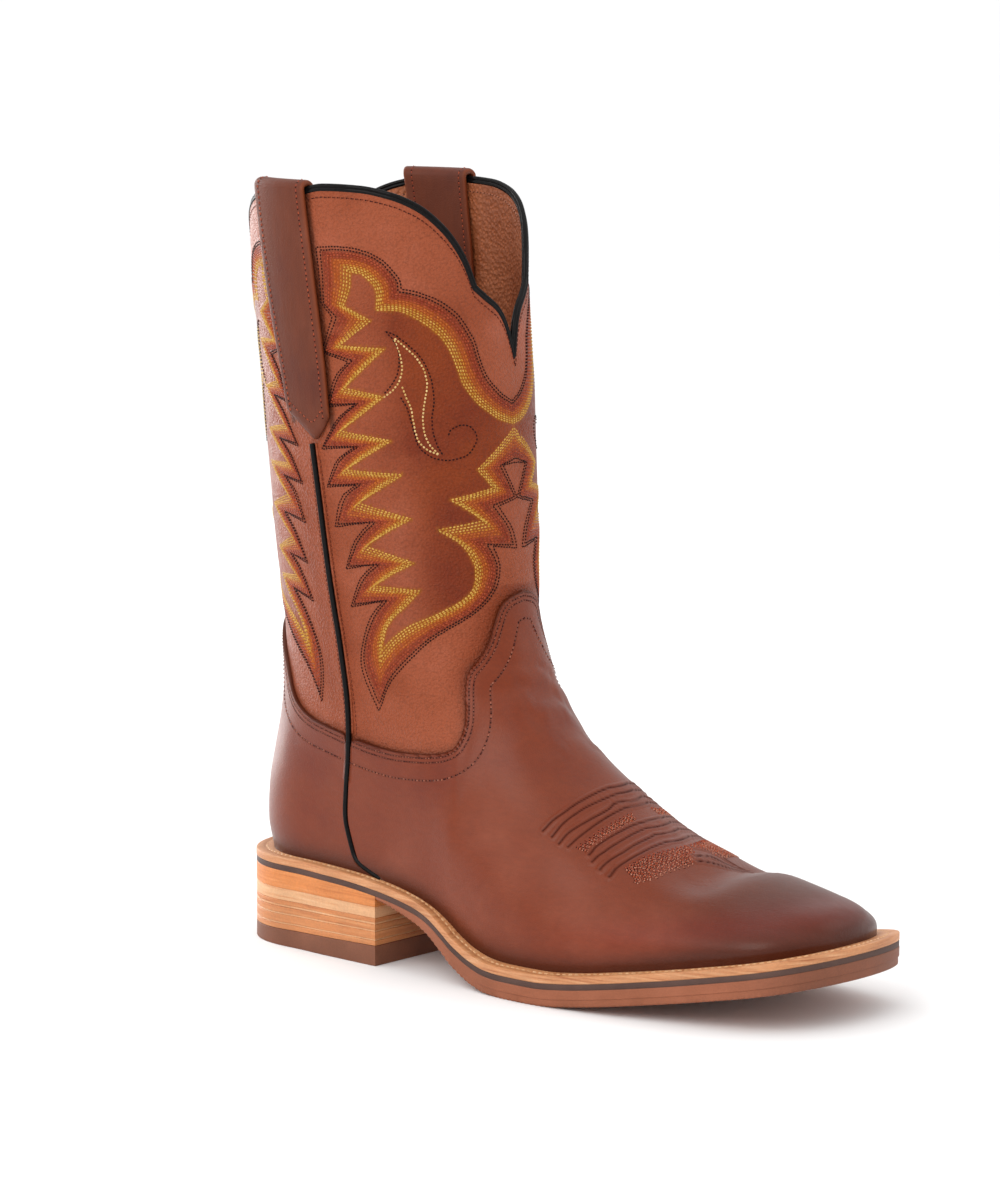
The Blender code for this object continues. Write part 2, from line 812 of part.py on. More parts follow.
def surface_frame(x, z, side):
    """Point and outward normal of the upper's outer face in the side view."""
    sink = (OVERLAY_WALL + GAP) * (1 - float(ease(0.413, 0.565, z / COLLAR_HEIGHT)))

    def point(px, pz):
        half, shift = half_width(np.array([px]), np.array([pz]), side)
        return np.array([px, shift[0] + side * half[0], pz])

    here = point(x, z)
    along = point(x + STEP_ALONG, z) - point(x - STEP_ALONG, z)
    up = point(x, z + STEP_ALONG) - point(x, z - STEP_ALONG)
    normal = np.cross(along, up) * -side
    normal /= np.linalg.norm(normal)
    return here - sink * normal, normal


def build_side_piping(name, side, material, parent):
    """Rounded strip along the side seam between vamp and counter."""
    heights = [z for z in SEAM_HEIGHTS if z > 1.14 * BED_HEIGHT]
    centre = [(float(smooth_curve(*SEAM_ROWS, z)), z) for z in heights]
    x_low = float(smooth_curve(*SEAM_ROWS, BED_HEIGHT))
    centre.insert(0, (x_low, float(bed_top(x_low)) + 2 * GAP))
    half = PIPING_WIDTH / 2
    section = [
        # across, out
        (-0.75, 0.20),
        (-1.00, 0.55),
        (-0.62, 0.92),
        (0.00, 1.00),
        (0.62, 0.92),
        (1.00, 0.55),
        (0.75, 0.20),
    ]
    vertices = []
    for i, (x, z) in enumerate(centre):
        here, normal = surface_frame(x, z, side)
        before = surface_frame(*centre[max(i - 1, 0)], side)[0]
        after = surface_frame(*centre[min(i + 1, len(centre) - 1)], side)[0]
        run = after - before
        across = np.cross(run, normal)
        across /= np.linalg.norm(across)
        for a, out in section:
            vertices.append(here + across * a * half + normal * (GAP + out * PIPING_PROUD))
    count = len(section)
    faces = []
    for k in range(len(centre) - 1):
        faces += ring_faces(k * count, (k + 1) * count, count)
    faces.append(tuple(range(count)))
    last = (len(centre) - 1) * count
    faces.append(tuple(reversed(range(last, last + count))))
    return make_object(name, vertices, faces, material, parent)


def build_collar_piping(material, parent):
    """Bead that runs on the collar's rim all the way round."""
    last = len(LEVELS) - 1
    outer = upper_grid([last])[0]
    inner = upper_grid([last], -UPPER_WALL)[0]
    rim = (outer + inner) / 2
    out = (outer - inner) / np.linalg.norm(outer - inner, axis=1)[:, None]
    count = len(rim)
    sides = 6
    vertices = []
    for i in range(count):
        before = rim[i] - rim[i - 1]
        after = rim[(i + 1) % count] - rim[i]
        before /= np.linalg.norm(before)
        after /= np.linalg.norm(after)
        run = before + after
        run /= np.linalg.norm(run)
        up = np.cross(run, out[i])
        up /= np.linalg.norm(up)
        if up[2] < 0:
            up = -up
        stretch = 1 / max(math.sqrt((1 + before @ after) / 2), 0.6)
        middle = rim[i] + up * (COLLAR_BEAD + GAP) * stretch
        for k in range(sides):
            angle = 2 * math.pi * k / sides
            spoke = math.cos(angle) * out[i] + math.sin(angle) * up * stretch
            vertices.append(middle + COLLAR_BEAD * spoke)
    faces = []
    for i in range(count):
        j = (i + 1) % count
        for k in range(sides):
            n = (k + 1) % sides
            faces.append((i * sides + k, i * sides + n, j * sides + n, j * sides + k))
    return make_object("collar_piping", vertices, faces, material, parent)


def build_pull_strap(name, side, material, parent):
    """Strap folded over the collar: long pointed end outside, short end inside."""
    across = [0.0, 0.15, 0.30, 0.47, 0.64, 0.82, 1.0]
    rim = COLLAR_HEIGHT
    bead = rim + 2 * GAP + 2 * COLLAR_BEAD + GAP
    outside = STRAP_OUTER_GAP
    inside = -UPPER_WALL - STRAP_INNER_GAP
    shoulder = 2 * STRAP_THICK
    columns = []
    for a in across:
        end = float(np.interp(a, *STRAP_ENDS))
        outer_leg = list(np.linspace(end, rim - shoulder, 8))
        inner_leg = list(np.linspace(rim - shoulder, rim - STRAP_INSIDE, 5))

        def place(z, offset):
            back = float(smooth_curve(*STRAP_BACK, z))
            front = float(smooth_curve(*STRAP_FRONT, z))
            level = min(z, rim + shoulder)
            here, normal = surface_frame(back + (front - back) * a, level, side)
            return np.array([here[0], here[1], z]) + normal * offset * np.array([1, 1, 0])

        profile = [place(z, outside + STRAP_THICK) for z in outer_leg]
        profile.append(place(bead + 0.35 * STRAP_THICK, outside + 0.85 * STRAP_THICK))
        profile.append(place(bead + 1.0 * STRAP_THICK, 0.2 * outside))
        profile.append(place(bead + 1.0 * STRAP_THICK, inside * 0.75))
        profile.append(place(bead + 0.35 * STRAP_THICK, inside - 0.85 * STRAP_THICK))
        profile += [place(z, inside - STRAP_THICK) for z in inner_leg]
        profile += [place(z, inside) for z in reversed(inner_leg)]
        profile.append(place(bead, inside))
        profile.append(place(bead, outside))
        profile += [place(z, outside) for z in reversed(outer_leg)]
        columns.append(profile)
    count = len(columns[0])
    vertices = [p for column in columns for p in column]
    faces = []
    for k in range(len(columns) - 1):
        faces += ring_faces(k * count, (k + 1) * count, count)
    for base in (0, (len(columns) - 1) * count):
        i = 0
        j = count - 1
        while j - i > 1:
            if j - i == 2:
                faces.append((base + i, base + i + 1, base + j))
                break
            faces.append((base + i, base + i + 1, base + j - 1, base + j))
            i += 1
            j -= 1
    return make_object(name, vertices, faces, material, parent)


def make_material(name, colour, roughness, metallic=0.0):
    material = bpy.data.materials.new(name)
    material.use_nodes = True
    shader = material.node_tree.nodes["Principled BSDF"]
    shader.inputs["Base Color"].default_value = (*colour, 1.0)
    shader.inputs["Roughness"].default_value = roughness
    shader.inputs["Metallic"].default_value = metallic
    material.diffuse_color = (*colour, 1.0)
    return material


def main():
    for thing in list(bpy.data.objects):
        bpy.data.objects.remove(thing)
    collection = bpy.data.collections.new(COLLECTION)
    bpy.context.scene.collection.children.link(collection)
    root = bpy.data.objects.new("boot", None)
    root.location = (-HEEL_LENGTH / 2, 0.0, 0.0)
    collection.objects.link(root)

    shaft = make_material("shaft_leather", (0.37, 0.10, 0.05), 0.55)
    vamp = make_material("vamp_leather", (0.25, 0.075, 0.045), 0.45)
    black = make_material("piping_black", (0.012, 0.011, 0.012), 0.35)
    strap = make_material("strap_leather", (0.17, 0.06, 0.04), 0.60)
    tan = make_material("welt_tan", (0.72, 0.29, 0.10), 0.55)
    dark = make_material("midsole_grey_brown", (0.11, 0.075, 0.065), 0.70)
    rubber = make_material("outsole_brown", (0.33, 0.12, 0.06), 0.65)
    stack = make_material("heel_leather", (0.70, 0.28, 0.11), 0.60)
    lining = make_material("insole_leather", (0.45, 0.22, 0.10), 0.70)

    build_upper(shaft, root)
    build_overlay("vamp", True, vamp, root)
    build_overlay("counter", False, vamp, root)
    build_side_piping("side_piping_lateral", -1, black, root)
    build_side_piping("side_piping_medial", 1, black, root)
    build_collar_piping(black, root)
    build_pull_strap("pull_strap_lateral", -1, strap, root)
    build_pull_strap("pull_strap_medial", 1, strap, root)
    build_welt(tan, root)
    build_midsole(dark, root)
    build_outsole(rubber, root)
    build_heel_stack(stack, root)
    build_heel_cap(rubber, root)
    build_insole(lining, root)

    for thing in collection.objects:
        if thing.type == "MESH":
            thing.data.shade_smooth()
    bpy.context.view_layer.update()


main()
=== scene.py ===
# Looks of the western work boot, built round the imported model. Metres, +Z up.
# The boot's own frame has the heel's back at x = 0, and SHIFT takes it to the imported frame.
import math

import bpy
import numpy as np
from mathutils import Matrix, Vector, kdtree


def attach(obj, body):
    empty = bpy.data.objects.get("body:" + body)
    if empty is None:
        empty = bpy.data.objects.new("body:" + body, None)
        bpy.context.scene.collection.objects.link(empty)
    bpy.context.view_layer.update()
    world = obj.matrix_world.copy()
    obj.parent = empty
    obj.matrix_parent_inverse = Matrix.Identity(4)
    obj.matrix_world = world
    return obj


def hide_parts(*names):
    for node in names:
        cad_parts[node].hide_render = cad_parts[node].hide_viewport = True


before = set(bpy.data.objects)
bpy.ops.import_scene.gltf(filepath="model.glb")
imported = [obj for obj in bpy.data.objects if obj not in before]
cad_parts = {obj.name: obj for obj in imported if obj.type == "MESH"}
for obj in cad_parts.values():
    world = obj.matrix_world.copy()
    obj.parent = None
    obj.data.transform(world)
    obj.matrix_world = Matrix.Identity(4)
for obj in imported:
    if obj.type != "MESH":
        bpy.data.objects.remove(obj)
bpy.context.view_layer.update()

# Driving sizes, the same as in the part's source
SOLE_LENGTH = 0.301
BALL_WIDTH = 0.1085
HEEL_LENGTH = 0.089
BED_HEIGHT = 0.037
COLLAR_HEIGHT = 0.310
COLLAR_DIP = 0.066
COLLAR_TURN = 5.0
LEG_LENGTH = 0.120
LEG_WIDTH = 0.102
UPPER_WALL = 0.0022
OVERLAY_WALL = 0.0013
WELT_THICK = 0.0030
MIDSOLE_THICK = 0.0021
GAP = 0.0003
HEEL_CAP_BACK = 0.0060
HEEL_CAP_FRONT = 0.0082
HEEL_ROUND = 0.040
TOE_ROUND = 0.035
WELT_STRIP = 0.0095
INSOLE_THICK = 0.0032
PIPING_WIDTH = 0.0021
COLLAR_BEAD = 0.0011
STRAP_THICK = 0.0022
STRAP_INSIDE = 0.052
STRAP_OUTER_GAP = 0.0007
STRAP_INNER_GAP = 0.0010
FEATHER_BACK = 0.0075
FEATHER_INSET = 0.0052
FEATHER_SPREAD = 0.0026
RIDGE_SHIFT = 0.0030
BELLY = 0.0015
PIPING_PROUD = 0.0019
OUTSOLE_STEP = 0.0004
SHIFT = np.array([-HEEL_LENGTH / 2, 0.0, 0.0])
MM = 0.001
LIGHT_LEVEL = 1.15
SHEEN_VEIL = 0.018
WARM_SHEEN = (1.0, 0.78, 0.62, 1.0)
SEAM_KICK = 5.5
SEAM_KICK_ROWS = 11.0
PIPING_LIP = 0.35 * MM
VAMP_ROWS = (1.5 * MM, 3.3 * MM, 10.4 * MM)
THREAD_LIFT = 0.05 * MM
FOLD_SHOULDER = 0.22
MEDIAL_FOLDS = 0.8
UNEVENNESS = 0.14 * MM
PANEL_GIRTH = 0.088
WEDGE_FOOT = 0.0238
SOFTEN_REACH = 24 * MM
SOFTEN_STEPS = 9
EDGE_ROLL = ((0.14, 0.10), (0.26, 0.40), (0.28, 1.00), (0.24, 1.90))

# Softboxes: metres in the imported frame, and watts
LIGHT_AIM = (0.08, 0.0, 0.14)
LIGHTS = [
    # name, place, size, power
    ("key", (0.35, -1.45, 1.25), (1.2, 1.2), 11.5),
    ("left", (-1.50, 0.34, 0.36), (0.8, 1.0), 15),
    ("fill", (-0.9, -1.3, 0.8), (1.0, 1.0), 3),
    ("right", (1.30, 1.00, 0.9), (0.8, 1.2), 2.5),
]
FLOOR_REACH = 30.0
HORIZON_SHARE = 0.55
SKY_LEVEL = 1.38

# The camera that the photo was taken with, in the boot's own frame, for a 1000 x 1200 image
CAMERA_PLACE = np.array([1.4173, -1.5508, 0.4445])
CAMERA_TURN = 0.697
CAMERA_DIP = 0.146
FOCAL_PIXELS = 5100.6
IMAGE_WIDE = 1000
IMAGE_HIGH = 1200
SENSOR_MM = 36.0

# along: share of SOLE_LENGTH, centre and half: shares of BALL_WIDTH
OUTLINE = [
    # along, centre, half
    (0.000, 0.000, 0.337),
    (0.130, 0.000, 0.347),
    (0.200, -0.005, 0.363),
    (0.300, -0.021, 0.371),
    (0.365, -0.037, 0.369),
    (0.450, -0.057, 0.401),
    (0.530, -0.051, 0.452),
    (0.615, -0.029, 0.489),
    (0.700, 0.000, 0.500),
    (0.780, 0.014, 0.477),
    (0.865, 0.017, 0.439),
    (0.930, 0.020, 0.407),
    (1.000, 0.023, 0.378),
]

# along: share of SOLE_LENGTH, the rest: shares of BED_HEIGHT
BED = [
    # along, welt_top, outsole_base
    (0.000, 1.000, 0.800),
    (0.133, 0.995, 0.800),
    (0.233, 0.968, 0.790),
    (0.295, 0.924, 0.735),
    (0.349, 0.851, 0.616),
    (0.392, 0.755, 0.478),
    (0.425, 0.630, 0.320),
    (0.450, 0.515, 0.190),
    (0.482, 0.410, 0.075),
    (0.515, 0.350, 0.012),
    (0.545, 0.335, 0.000),
    (0.605, 0.335, 0.000),
    (0.650, 0.362, 0.028),
    (0.714, 0.432, 0.097),
    (0.797, 0.538, 0.202),
    (0.897, 0.686, 0.345),
    (1.000, 0.850, 0.500),
]

# Back line of the upper, height: share of COLLAR_HEIGHT, along: share of LEG_LENGTH
BACK_LINE = [
    # height, along
    (0.119, 0.062),
    (0.160, 0.040),
    (0.209, 0.042),
    (0.257, 0.058),
    (0.305, 0.079),
    (0.354, 0.092),
    (0.418, 0.092),
    (0.514, 0.079),
    (0.643, 0.062),
    (0.772, 0.037),
    (0.900, 0.008),
    (1.040, -0.008),
]

# Front line from the toe over the vamp and instep up to the collar
FRONT_LINE = [
    # along (SOLE_LENGTH), height (COLLAR_HEIGHT)
    (0.972, 0.100),
    (0.967, 0.122),
    (0.948, 0.139),
    (0.904, 0.1495),
    (0.847, 0.1590),
    (0.781, 0.1685),
    (0.714, 0.1850),
    (0.648, 0.216),
    (0.598, 0.251),
    (0.548, 0.288),
    (0.505, 0.325),
    (0.472, 0.367),
    (0.449, 0.412),
    (0.437, 0.457),
    (0.432, 0.514),
    (0.425, 0.611),
    (0.415, 0.740),
    (0.402, 0.868),
    (0.396, 1.040),
]

# Half width of the leg and heel, half: share of LEG_WIDTH
LEG_HALF = [
    # height, half
    (0.100, 0.345),
    (0.193, 0.353),
    (0.257, 0.363),
    (0.322, 0.377),
    (0.386, 0.392),
    (0.450, 0.407),
    (0.514, 0.422),
    (0.643, 0.451),
    (0.772, 0.476),
    (0.900, 0.494),
    (1.040, 0.500),
]

# Side seam, height: share of COLLAR_HEIGHT, along: share of LEG_LENGTH
SEAM = [
    # height, along
    (0.100, 0.640),
    (0.154, 0.580),
    (0.190, 0.556),
    (0.228, 0.562),
    (0.268, 0.575),
    (0.347, 0.587),
    (0.408, 0.574),
    (0.466, 0.557),
    (0.569, 0.538),
    (0.682, 0.508),
    (1.040, 0.455),
]

# Collar dip: turn in degrees off the front or back centre, dip: share of COLLAR_DIP,
# rise: how much higher the lateral side stands in front of its strap, in millimetres
COLLAR = [
    # turn, dip, rise
    (0.0, 1.000, 0.0),
    (2.0, 0.905, 0.0),
    (5.0, 0.790, 0.0),
    (9.0, 0.705, 0.0),
    (17.0, 0.620, 0.0),
    (22.5, 0.560, 0.1),
    (24.0, 0.500, 0.3),
    (28.0, 0.380, 0.8),
    (36.0, 0.230, 1.3),
    (47.0, 0.110, 2.1),
    (58.0, 0.045, 2.3),
    (70.0, 0.010, 2.3),
    (86.0, 0.000, 2.0),
    (96.0, 0.000, 0.0),
]
COLLAR_CUSP = 5

# Ring levels: heights as shares of COLLAR_HEIGHT, the last two are weights
LEVELS = [
    # back, front, follow_sole, follow_collar
    (0.1200, 0.1015, 1.00, 0.00),
    (0.1330, 0.1130, 0.96, 0.00),
    (0.1530, 0.1275, 0.88, 0.00),
    (0.1800, 0.1430, 0.76, 0.00),
    (0.2100, 0.1570, 0.62, 0.00),
    (0.2420, 0.1730, 0.48, 0.00),
    (0.2760, 0.1990, 0.34, 0.00),
    (0.3110, 0.2370, 0.23, 0.00),
    (0.3470, 0.2830, 0.14, 0.00),
    (0.3850, 0.3340, 0.08, 0.00),
    (0.4260, 0.3900, 0.03, 0.00),
    (0.4700, 0.4470, 0.00, 0.00),
    (0.5180, 0.5050, 0.00, 0.02),
    (0.5700, 0.5630, 0.00, 0.08),
    (0.6250, 0.6220, 0.00, 0.18),
    (0.6820, 0.6810, 0.00, 0.30),
    (0.7390, 0.7390, 0.00, 0.43),
    (0.7960, 0.7960, 0.00, 0.56),
    (0.8500, 0.8500, 0.00, 0.68),
    (0.9010, 0.9010, 0.00, 0.79),
    (0.9520, 0.9520, 0.00, 0.90),
    (1.0000, 1.0000, 0.00, 1.00),
]

# Edge of vamp, tongue and counter: turn in degrees from the front about the leg axis
EDGE = [
    # turn, height (COLLAR_HEIGHT)
    (0.0, 0.489),
    (6.0, 0.484),
    (10.7, 0.472),
    (13.5, 0.449),
    (16.0, 0.428),
    (20.6, 0.405),
    (24.6, 0.389),
    (26.0, 0.372),
    (26.6, 0.352),
    (27.8, 0.328),
    (29.8, 0.309),
    (32.5, 0.294),
    (37.0, 0.287),
    (44.0, 0.284),
    (54.0, 0.283),
    (68.0, 0.286),
    (86.0, 0.292),
    (108.0, 0.300),
    (126.0, 0.308),
    (138.0, 0.321),
    (146.5, 0.343),
    (151.0, 0.372),
    (160.0, 0.408),
    (170.0, 0.428),
    (180.0, 0.434),
]

# Outline of the pull strap on the lateral side
STRAP = [
    # height (COLLAR_HEIGHT), back and front edge (LEG_LENGTH)
    (0.700, 0.413, 0.596),
    (0.760, 0.385, 0.588),
    (0.900, 0.310, 0.550),
    (1.000, 0.262, 0.515),
    (1.060, 0.240, 0.500),
]
STRAP_END = [
    # across, height (COLLAR_HEIGHT)
    (0.00, 0.716),
    (0.30, 0.700),
    (0.64, 0.682),
    (0.84, 0.698),
    (1.00, 0.716),
]
SEAM_TOP = 0.678 * COLLAR_HEIGHT
LEG_AXIS = 0.583 * LEG_LENGTH
FEATHER_FRONT = 0.972 * SOLE_LENGTH

# Flame embroidery of one panel as the photo shows it, in pixels: outer and inner edge of the
# stitched band, point for point. A 1 in the last column is a sharp corner.
FLAME = [
    # outer_x, outer_y, inner_x, inner_y, corner
    (517, 400, 516, 423, 1),
    (508, 398, 500, 419, 0),
    (500, 392, 488, 411, 0),
    (487, 376, 476, 401, 0),
    (479, 356, 464, 385, 0),
    (476, 345, 457, 367, 0),
    (472, 336, 449, 348, 0),
    (459, 316, 437, 333, 0),
    (441, 302, 419, 320, 0),
    (419, 293, 399, 311, 0),
    (401, 289, 376, 310, 1),
    (400, 281, 377, 297, 0),
    (396, 275, 374, 286, 0),
    (383, 261, 363, 275, 0),
    (363, 251, 357, 273, 0),
    (341, 247, 353, 272, 0),
    (316, 247, 350, 271, 1),
    (319, 275, 349, 289, 0),
    (321, 303, 343, 306, 1),
    (332, 317, 370, 321, 1),
    (322, 352, 339, 346, 1),
    (348, 362, 384, 349, 1),
    (335, 378, 364, 368, 0),
    (327, 407, 344, 388, 1),
    (355, 404, 383, 397, 1),
    (337, 420, 362, 414, 0),
    (322, 449, 340, 431, 1),
    (355, 447, 391, 441, 1),
    (337, 461, 368, 455, 0),
    (327, 487, 345, 470, 1),
    (356, 485, 402, 475, 1),
    (341, 499, 380, 489, 0),
    (335, 527, 358, 503, 1),
    (371, 522, 411, 519, 1),
    (355, 541, 389, 531, 0),
    (346, 569, 365, 546, 1),
    (375, 564, 414, 563, 1),
    (360, 580, 393, 574, 0),
    (351, 607, 373, 586, 1),
    (383, 601, 420, 591, 1),
    (371, 617, 406, 606, 0),
    (364, 638, 393, 618, 0),
    (361, 659, 386, 629, 0),
    (365, 679, 383, 641, 0),
    (379, 711, 381, 652, 1),
    (389, 685, 393, 639, 0),
    (406, 664, 409, 627, 0),
    (429, 642, 432, 617, 0),
    (449, 629, 449, 609, 0),
    (471, 616, 465, 599, 0),
    (487, 602, 474, 588, 0),
    (497, 586, 476, 574, 0),
    (500, 569, 474, 563, 0),
    (498, 558, 462, 545, 0),
    (493, 546, 438, 530, 1),
    (517, 548, 484, 521, 1),
    (512, 528, 468, 510, 0),
    (498, 506, 451, 500, 1),
    (520, 497, 494, 488, 1),
    (503, 465, 478, 470, 1),
    (517, 462, 514, 428, 1),
]

# Rows of the band: share from the outer to the inner edge, and thread
BAND_ROWS = [
    # share, thread
    (0.00, "dark"),
    (0.12, "dark"),
    (0.24, "rust"),
    (0.34, "rust"),
    (0.44, "rust"),
    (0.54, "orange"),
    (0.64, "orange"),
    (0.73, "gold"),
    (0.82, "yellow"),
    (0.91, "yellow"),
    (1.00, "yellow"),
]

# Leaf in the middle of the panel, in pixels of the photo
LEAF_RIM = [
    (385, 331), (396, 336), (409, 346), (421, 358), (429, 373), (433, 389), (434, 403), (432, 419),
    (434, 436), (438, 447), (443, 455),
]
LEAF_BACK = [(385, 331), (395, 343), (399, 356), (398, 371), (393, 383), (384, 394)]
LEAF_FORK = [
    (400, 397), (406, 406), (411, 421), (415, 436), (419, 447), (429, 456), (441, 460), (453, 460),
    (466, 456), (474, 447), (477, 437), (472, 428), (463, 425), (452, 429), (448, 436),
]
LEAF_STITCH_RIGHT = [
    (394, 338), (406, 348), (418, 360), (425, 373), (427, 386), (425, 400), (423, 416), (424, 431),
    (429, 444), (439, 455),
]
LEAF_STITCH_LEFT = [(394, 339), (399, 353), (402, 366), (400, 379), (394, 389), (383, 398)]
LEAF_STITCH_FORK = [
    (402, 386), (406, 397), (411, 409), (414, 425), (418, 440), (426, 449), (439, 455),
]

# Rows of the toe flower, in pixels of the photo, from the instep to the toe
TOE_ROWS = [
    [(543, 831), (555, 819), (575, 805), (597, 793), (614, 787), (630, 784)],
    [(552, 837), (564, 823), (582, 810), (605, 799), (623, 793), (640, 791)],
    [(559, 844), (570, 832), (590, 820), (608, 810), (623, 802), (650, 798)],
    [(568, 847), (582, 835), (600, 822), (617, 812), (635, 806), (655, 804)],
    [(589, 855), (596, 847), (611, 837), (626, 829), (638, 824), (654, 820), (668, 819)],
    [(592, 862), (603, 853), (620, 842), (638, 832), (656, 827), (680, 826)],
    [(600, 870), (614, 858), (632, 847), (650, 838), (662, 834), (688, 834)],
    [(609, 877), (626, 862), (644, 852), (662, 844), (677, 841), (698, 840)],
]
TOE_TIPS = [
    [(689, 846), (702, 849), (714, 853), (727, 861), (750, 872)],
    [(693, 856), (710, 857), (725, 864), (750, 872)],
    [(696, 861), (710, 863), (727, 868), (750, 873)],
]
TOE_BANDS = [
    # upper edge, lower edge, rows
    ([(576, 849), (596, 834), (616, 822), (632, 814)], [(586, 852), (602, 840), (620, 828), (636, 820)], 4),
    ([(626, 868), (645, 857), (665, 851), (690, 846)], [(634, 884), (655, 878), (675, 869), (694, 861)], 8),
]

# Folds: path in pixels of the photo, depth and width in millimetres
FOLDS = [
    # path, depth, width
    ([(492, 692), (522, 690), (546, 696), (562, 704)], 0.85, 4.0),
    ([(520, 704), (546, 709), (566, 716)], -0.45, 4.0),
    ([(540, 724), (562, 728), (588, 740)], 0.50, 4.0),
    ([(534, 700), (546, 703), (558, 711)], 0.42, 1.7),
    ([(538, 708), (549, 711), (561, 718)], 0.38, 1.7),
    ([(538, 668), (544, 672), (552, 680)], 0.34, 1.7),
    ([(520, 684), (534, 683), (552, 690)], 0.30, 1.8),
    ([(560, 742), (576, 739), (592, 745)], 0.46, 1.8),
    ([(568, 749), (584, 748), (598, 754)], 0.42, 1.8),
    ([(505, 668), (530, 667), (546, 672)], 0.30, 3.5),
    ([(500, 745), (525, 752), (550, 764), (578, 778)], 0.35, 8.0),
    ([(700, 884), (722, 874), (742, 866)], 1.70, 9.0),
    ([(765, 886), (790, 890), (812, 896)], -0.70, 15.0),
    ([(820, 905), (840, 898), (856, 900)], 0.60, 9.0),
    ([(430, 872), (480, 862), (530, 866)], -0.30, 14.0),
    ([(300, 742), (320, 752), (336, 757)], 0.20, 5.0),
    ([(372, 600), (420, 640), (470, 640)], 0.25, 9.0),
    ([(300, 560), (306, 610), (312, 650)], 0.20, 7.0),
]


def rows(table, x_column, y_column, x_scale, y_scale):
    """Pick two named columns of a table as sorted, scaled arrays."""
    picked = sorted((r[x_column] * x_scale, r[y_column] * y_scale) for r in table)
    return np.array([p[0] for p in picked]), np.array([p[1] for p in picked])


def smooth_curve(xs, ys, x):
    """Monotone cubic through the rows of a table."""
    gap = np.diff(xs)
    rise = np.diff(ys) / gap
    slope = np.empty_like(ys)
    slope[0] = rise[0]
    slope[-1] = rise[-1]
    for i in range(1, len(xs) - 1):
        if rise[i - 1] * rise[i] <= 0:
            slope[i] = 0.0
        else:
            a = 2 * gap[i] + gap[i - 1]
            b = gap[i] + 2 * gap[i - 1]
            slope[i] = 3 * (gap[i] + gap[i - 1]) / (a / rise[i - 1] + b / rise[i])
    x = np.clip(x, xs[0], xs[-1])
    i = np.clip(np.searchsorted(xs, x, side="right") - 1, 0, len(xs) - 2)
    t = (x - xs[i]) / gap[i]
    low = (2 * t ** 3 - 3 * t ** 2 + 1) * ys[i] + (t ** 3 - 2 * t ** 2 + t) * gap[i] * slope[i]
    high = (3 * t ** 2 - 2 * t ** 3) * ys[i + 1] + (t ** 3 - t ** 2) * gap[i] * slope[i + 1]
    return low + high


def ease(low, high, x):
    t = np.clip((x - low) / (high - low), 0.0, 1.0)
    return t * t * (3 - 2 * t)


def unit(vectors):
    """Vectors scaled to a length of one."""
    return vectors / np.maximum(np.linalg.norm(vectors, axis=-1, keepdims=True), 1e-12)


def run_length(points):
    """Length along a line up to each of its points."""
    return np.concatenate([[0.0], np.cumsum(np.linalg.norm(np.diff(points, axis=0), axis=1))])


def smoothed(line, rounds):
    """A line with its inner points drawn towards their neighbours."""
    line = line.copy()
    for _ in range(rounds):
        line[1:-1] = (line[:-2] + 2 * line[1:-1] + line[2:]) / 4
    return line


OUT_CENTRE = rows(OUTLINE, 0, 1, SOLE_LENGTH, BALL_WIDTH)
OUT_HALF = rows(OUTLINE, 0, 2, SOLE_LENGTH, BALL_WIDTH)
BED_TOP = rows(BED, 0, 1, SOLE_LENGTH, BED_HEIGHT)
BED_BASE = rows(BED, 0, 2, SOLE_LENGTH, BED_HEIGHT)
BACK_ROWS = rows(BACK_LINE, 0, 1, COLLAR_HEIGHT, LEG_LENGTH)
FRONT_BY_HEIGHT = rows(FRONT_LINE, 1, 0, COLLAR_HEIGHT, SOLE_LENGTH)
FRONT_BY_ALONG = rows(FRONT_LINE, 0, 1, SOLE_LENGTH, COLLAR_HEIGHT)
LEG_ROWS = rows(LEG_HALF, 0, 1, COLLAR_HEIGHT, LEG_WIDTH)
SEAM_ROWS = rows(SEAM, 0, 1, COLLAR_HEIGHT, LEG_LENGTH)
COLLAR_CURVE = rows(COLLAR[:COLLAR_CUSP + 1], 0, 1, 1.0, COLLAR_DIP)
COLLAR_SIDE = rows(COLLAR[COLLAR_CUSP:], 0, 1, 1.0, COLLAR_DIP)
COLLAR_RISE = rows(COLLAR, 0, 2, 1.0, 0.001)
EDGE_ROWS = rows(EDGE, 0, 1, 1.0, COLLAR_HEIGHT)
STRAP_BACK = rows(STRAP, 0, 1, COLLAR_HEIGHT, LEG_LENGTH)
STRAP_FRONT = rows(STRAP, 0, 2, COLLAR_HEIGHT, LEG_LENGTH)
STRAP_ENDS = rows(STRAP_END, 0, 1, 1.0, COLLAR_HEIGHT)


def bed_top(x):
    """Height of the welt's top face at a place along the boot."""
    return smooth_curve(*BED_TOP, x)


def outsole_base(x):
    return smooth_curve(*BED_BASE, x)


def rim_height(x):
    share = x / SOLE_LENGTH
    bend = ease(0.282, 0.332, share) * (1 - ease(0.399, 0.449, share))
    return bed_top(x) + GAP * (1 + bend)


def round_off(x, length):
    """1 along the sole, falling to 0 at the rounded heel and the square toe."""
    back = np.clip((HEEL_ROUND - x) / HEEL_ROUND, 0.0, 1.0)
    front = np.clip((x - length + TOE_ROUND) / TOE_ROUND, 0.0, 1.0)
    heel = np.sqrt(np.clip(1 - back ** 2.6, 0.0, 1.0))
    toe = np.sqrt(np.clip(1 - front ** 3.0, 0.0, 1.0))
    return heel * toe


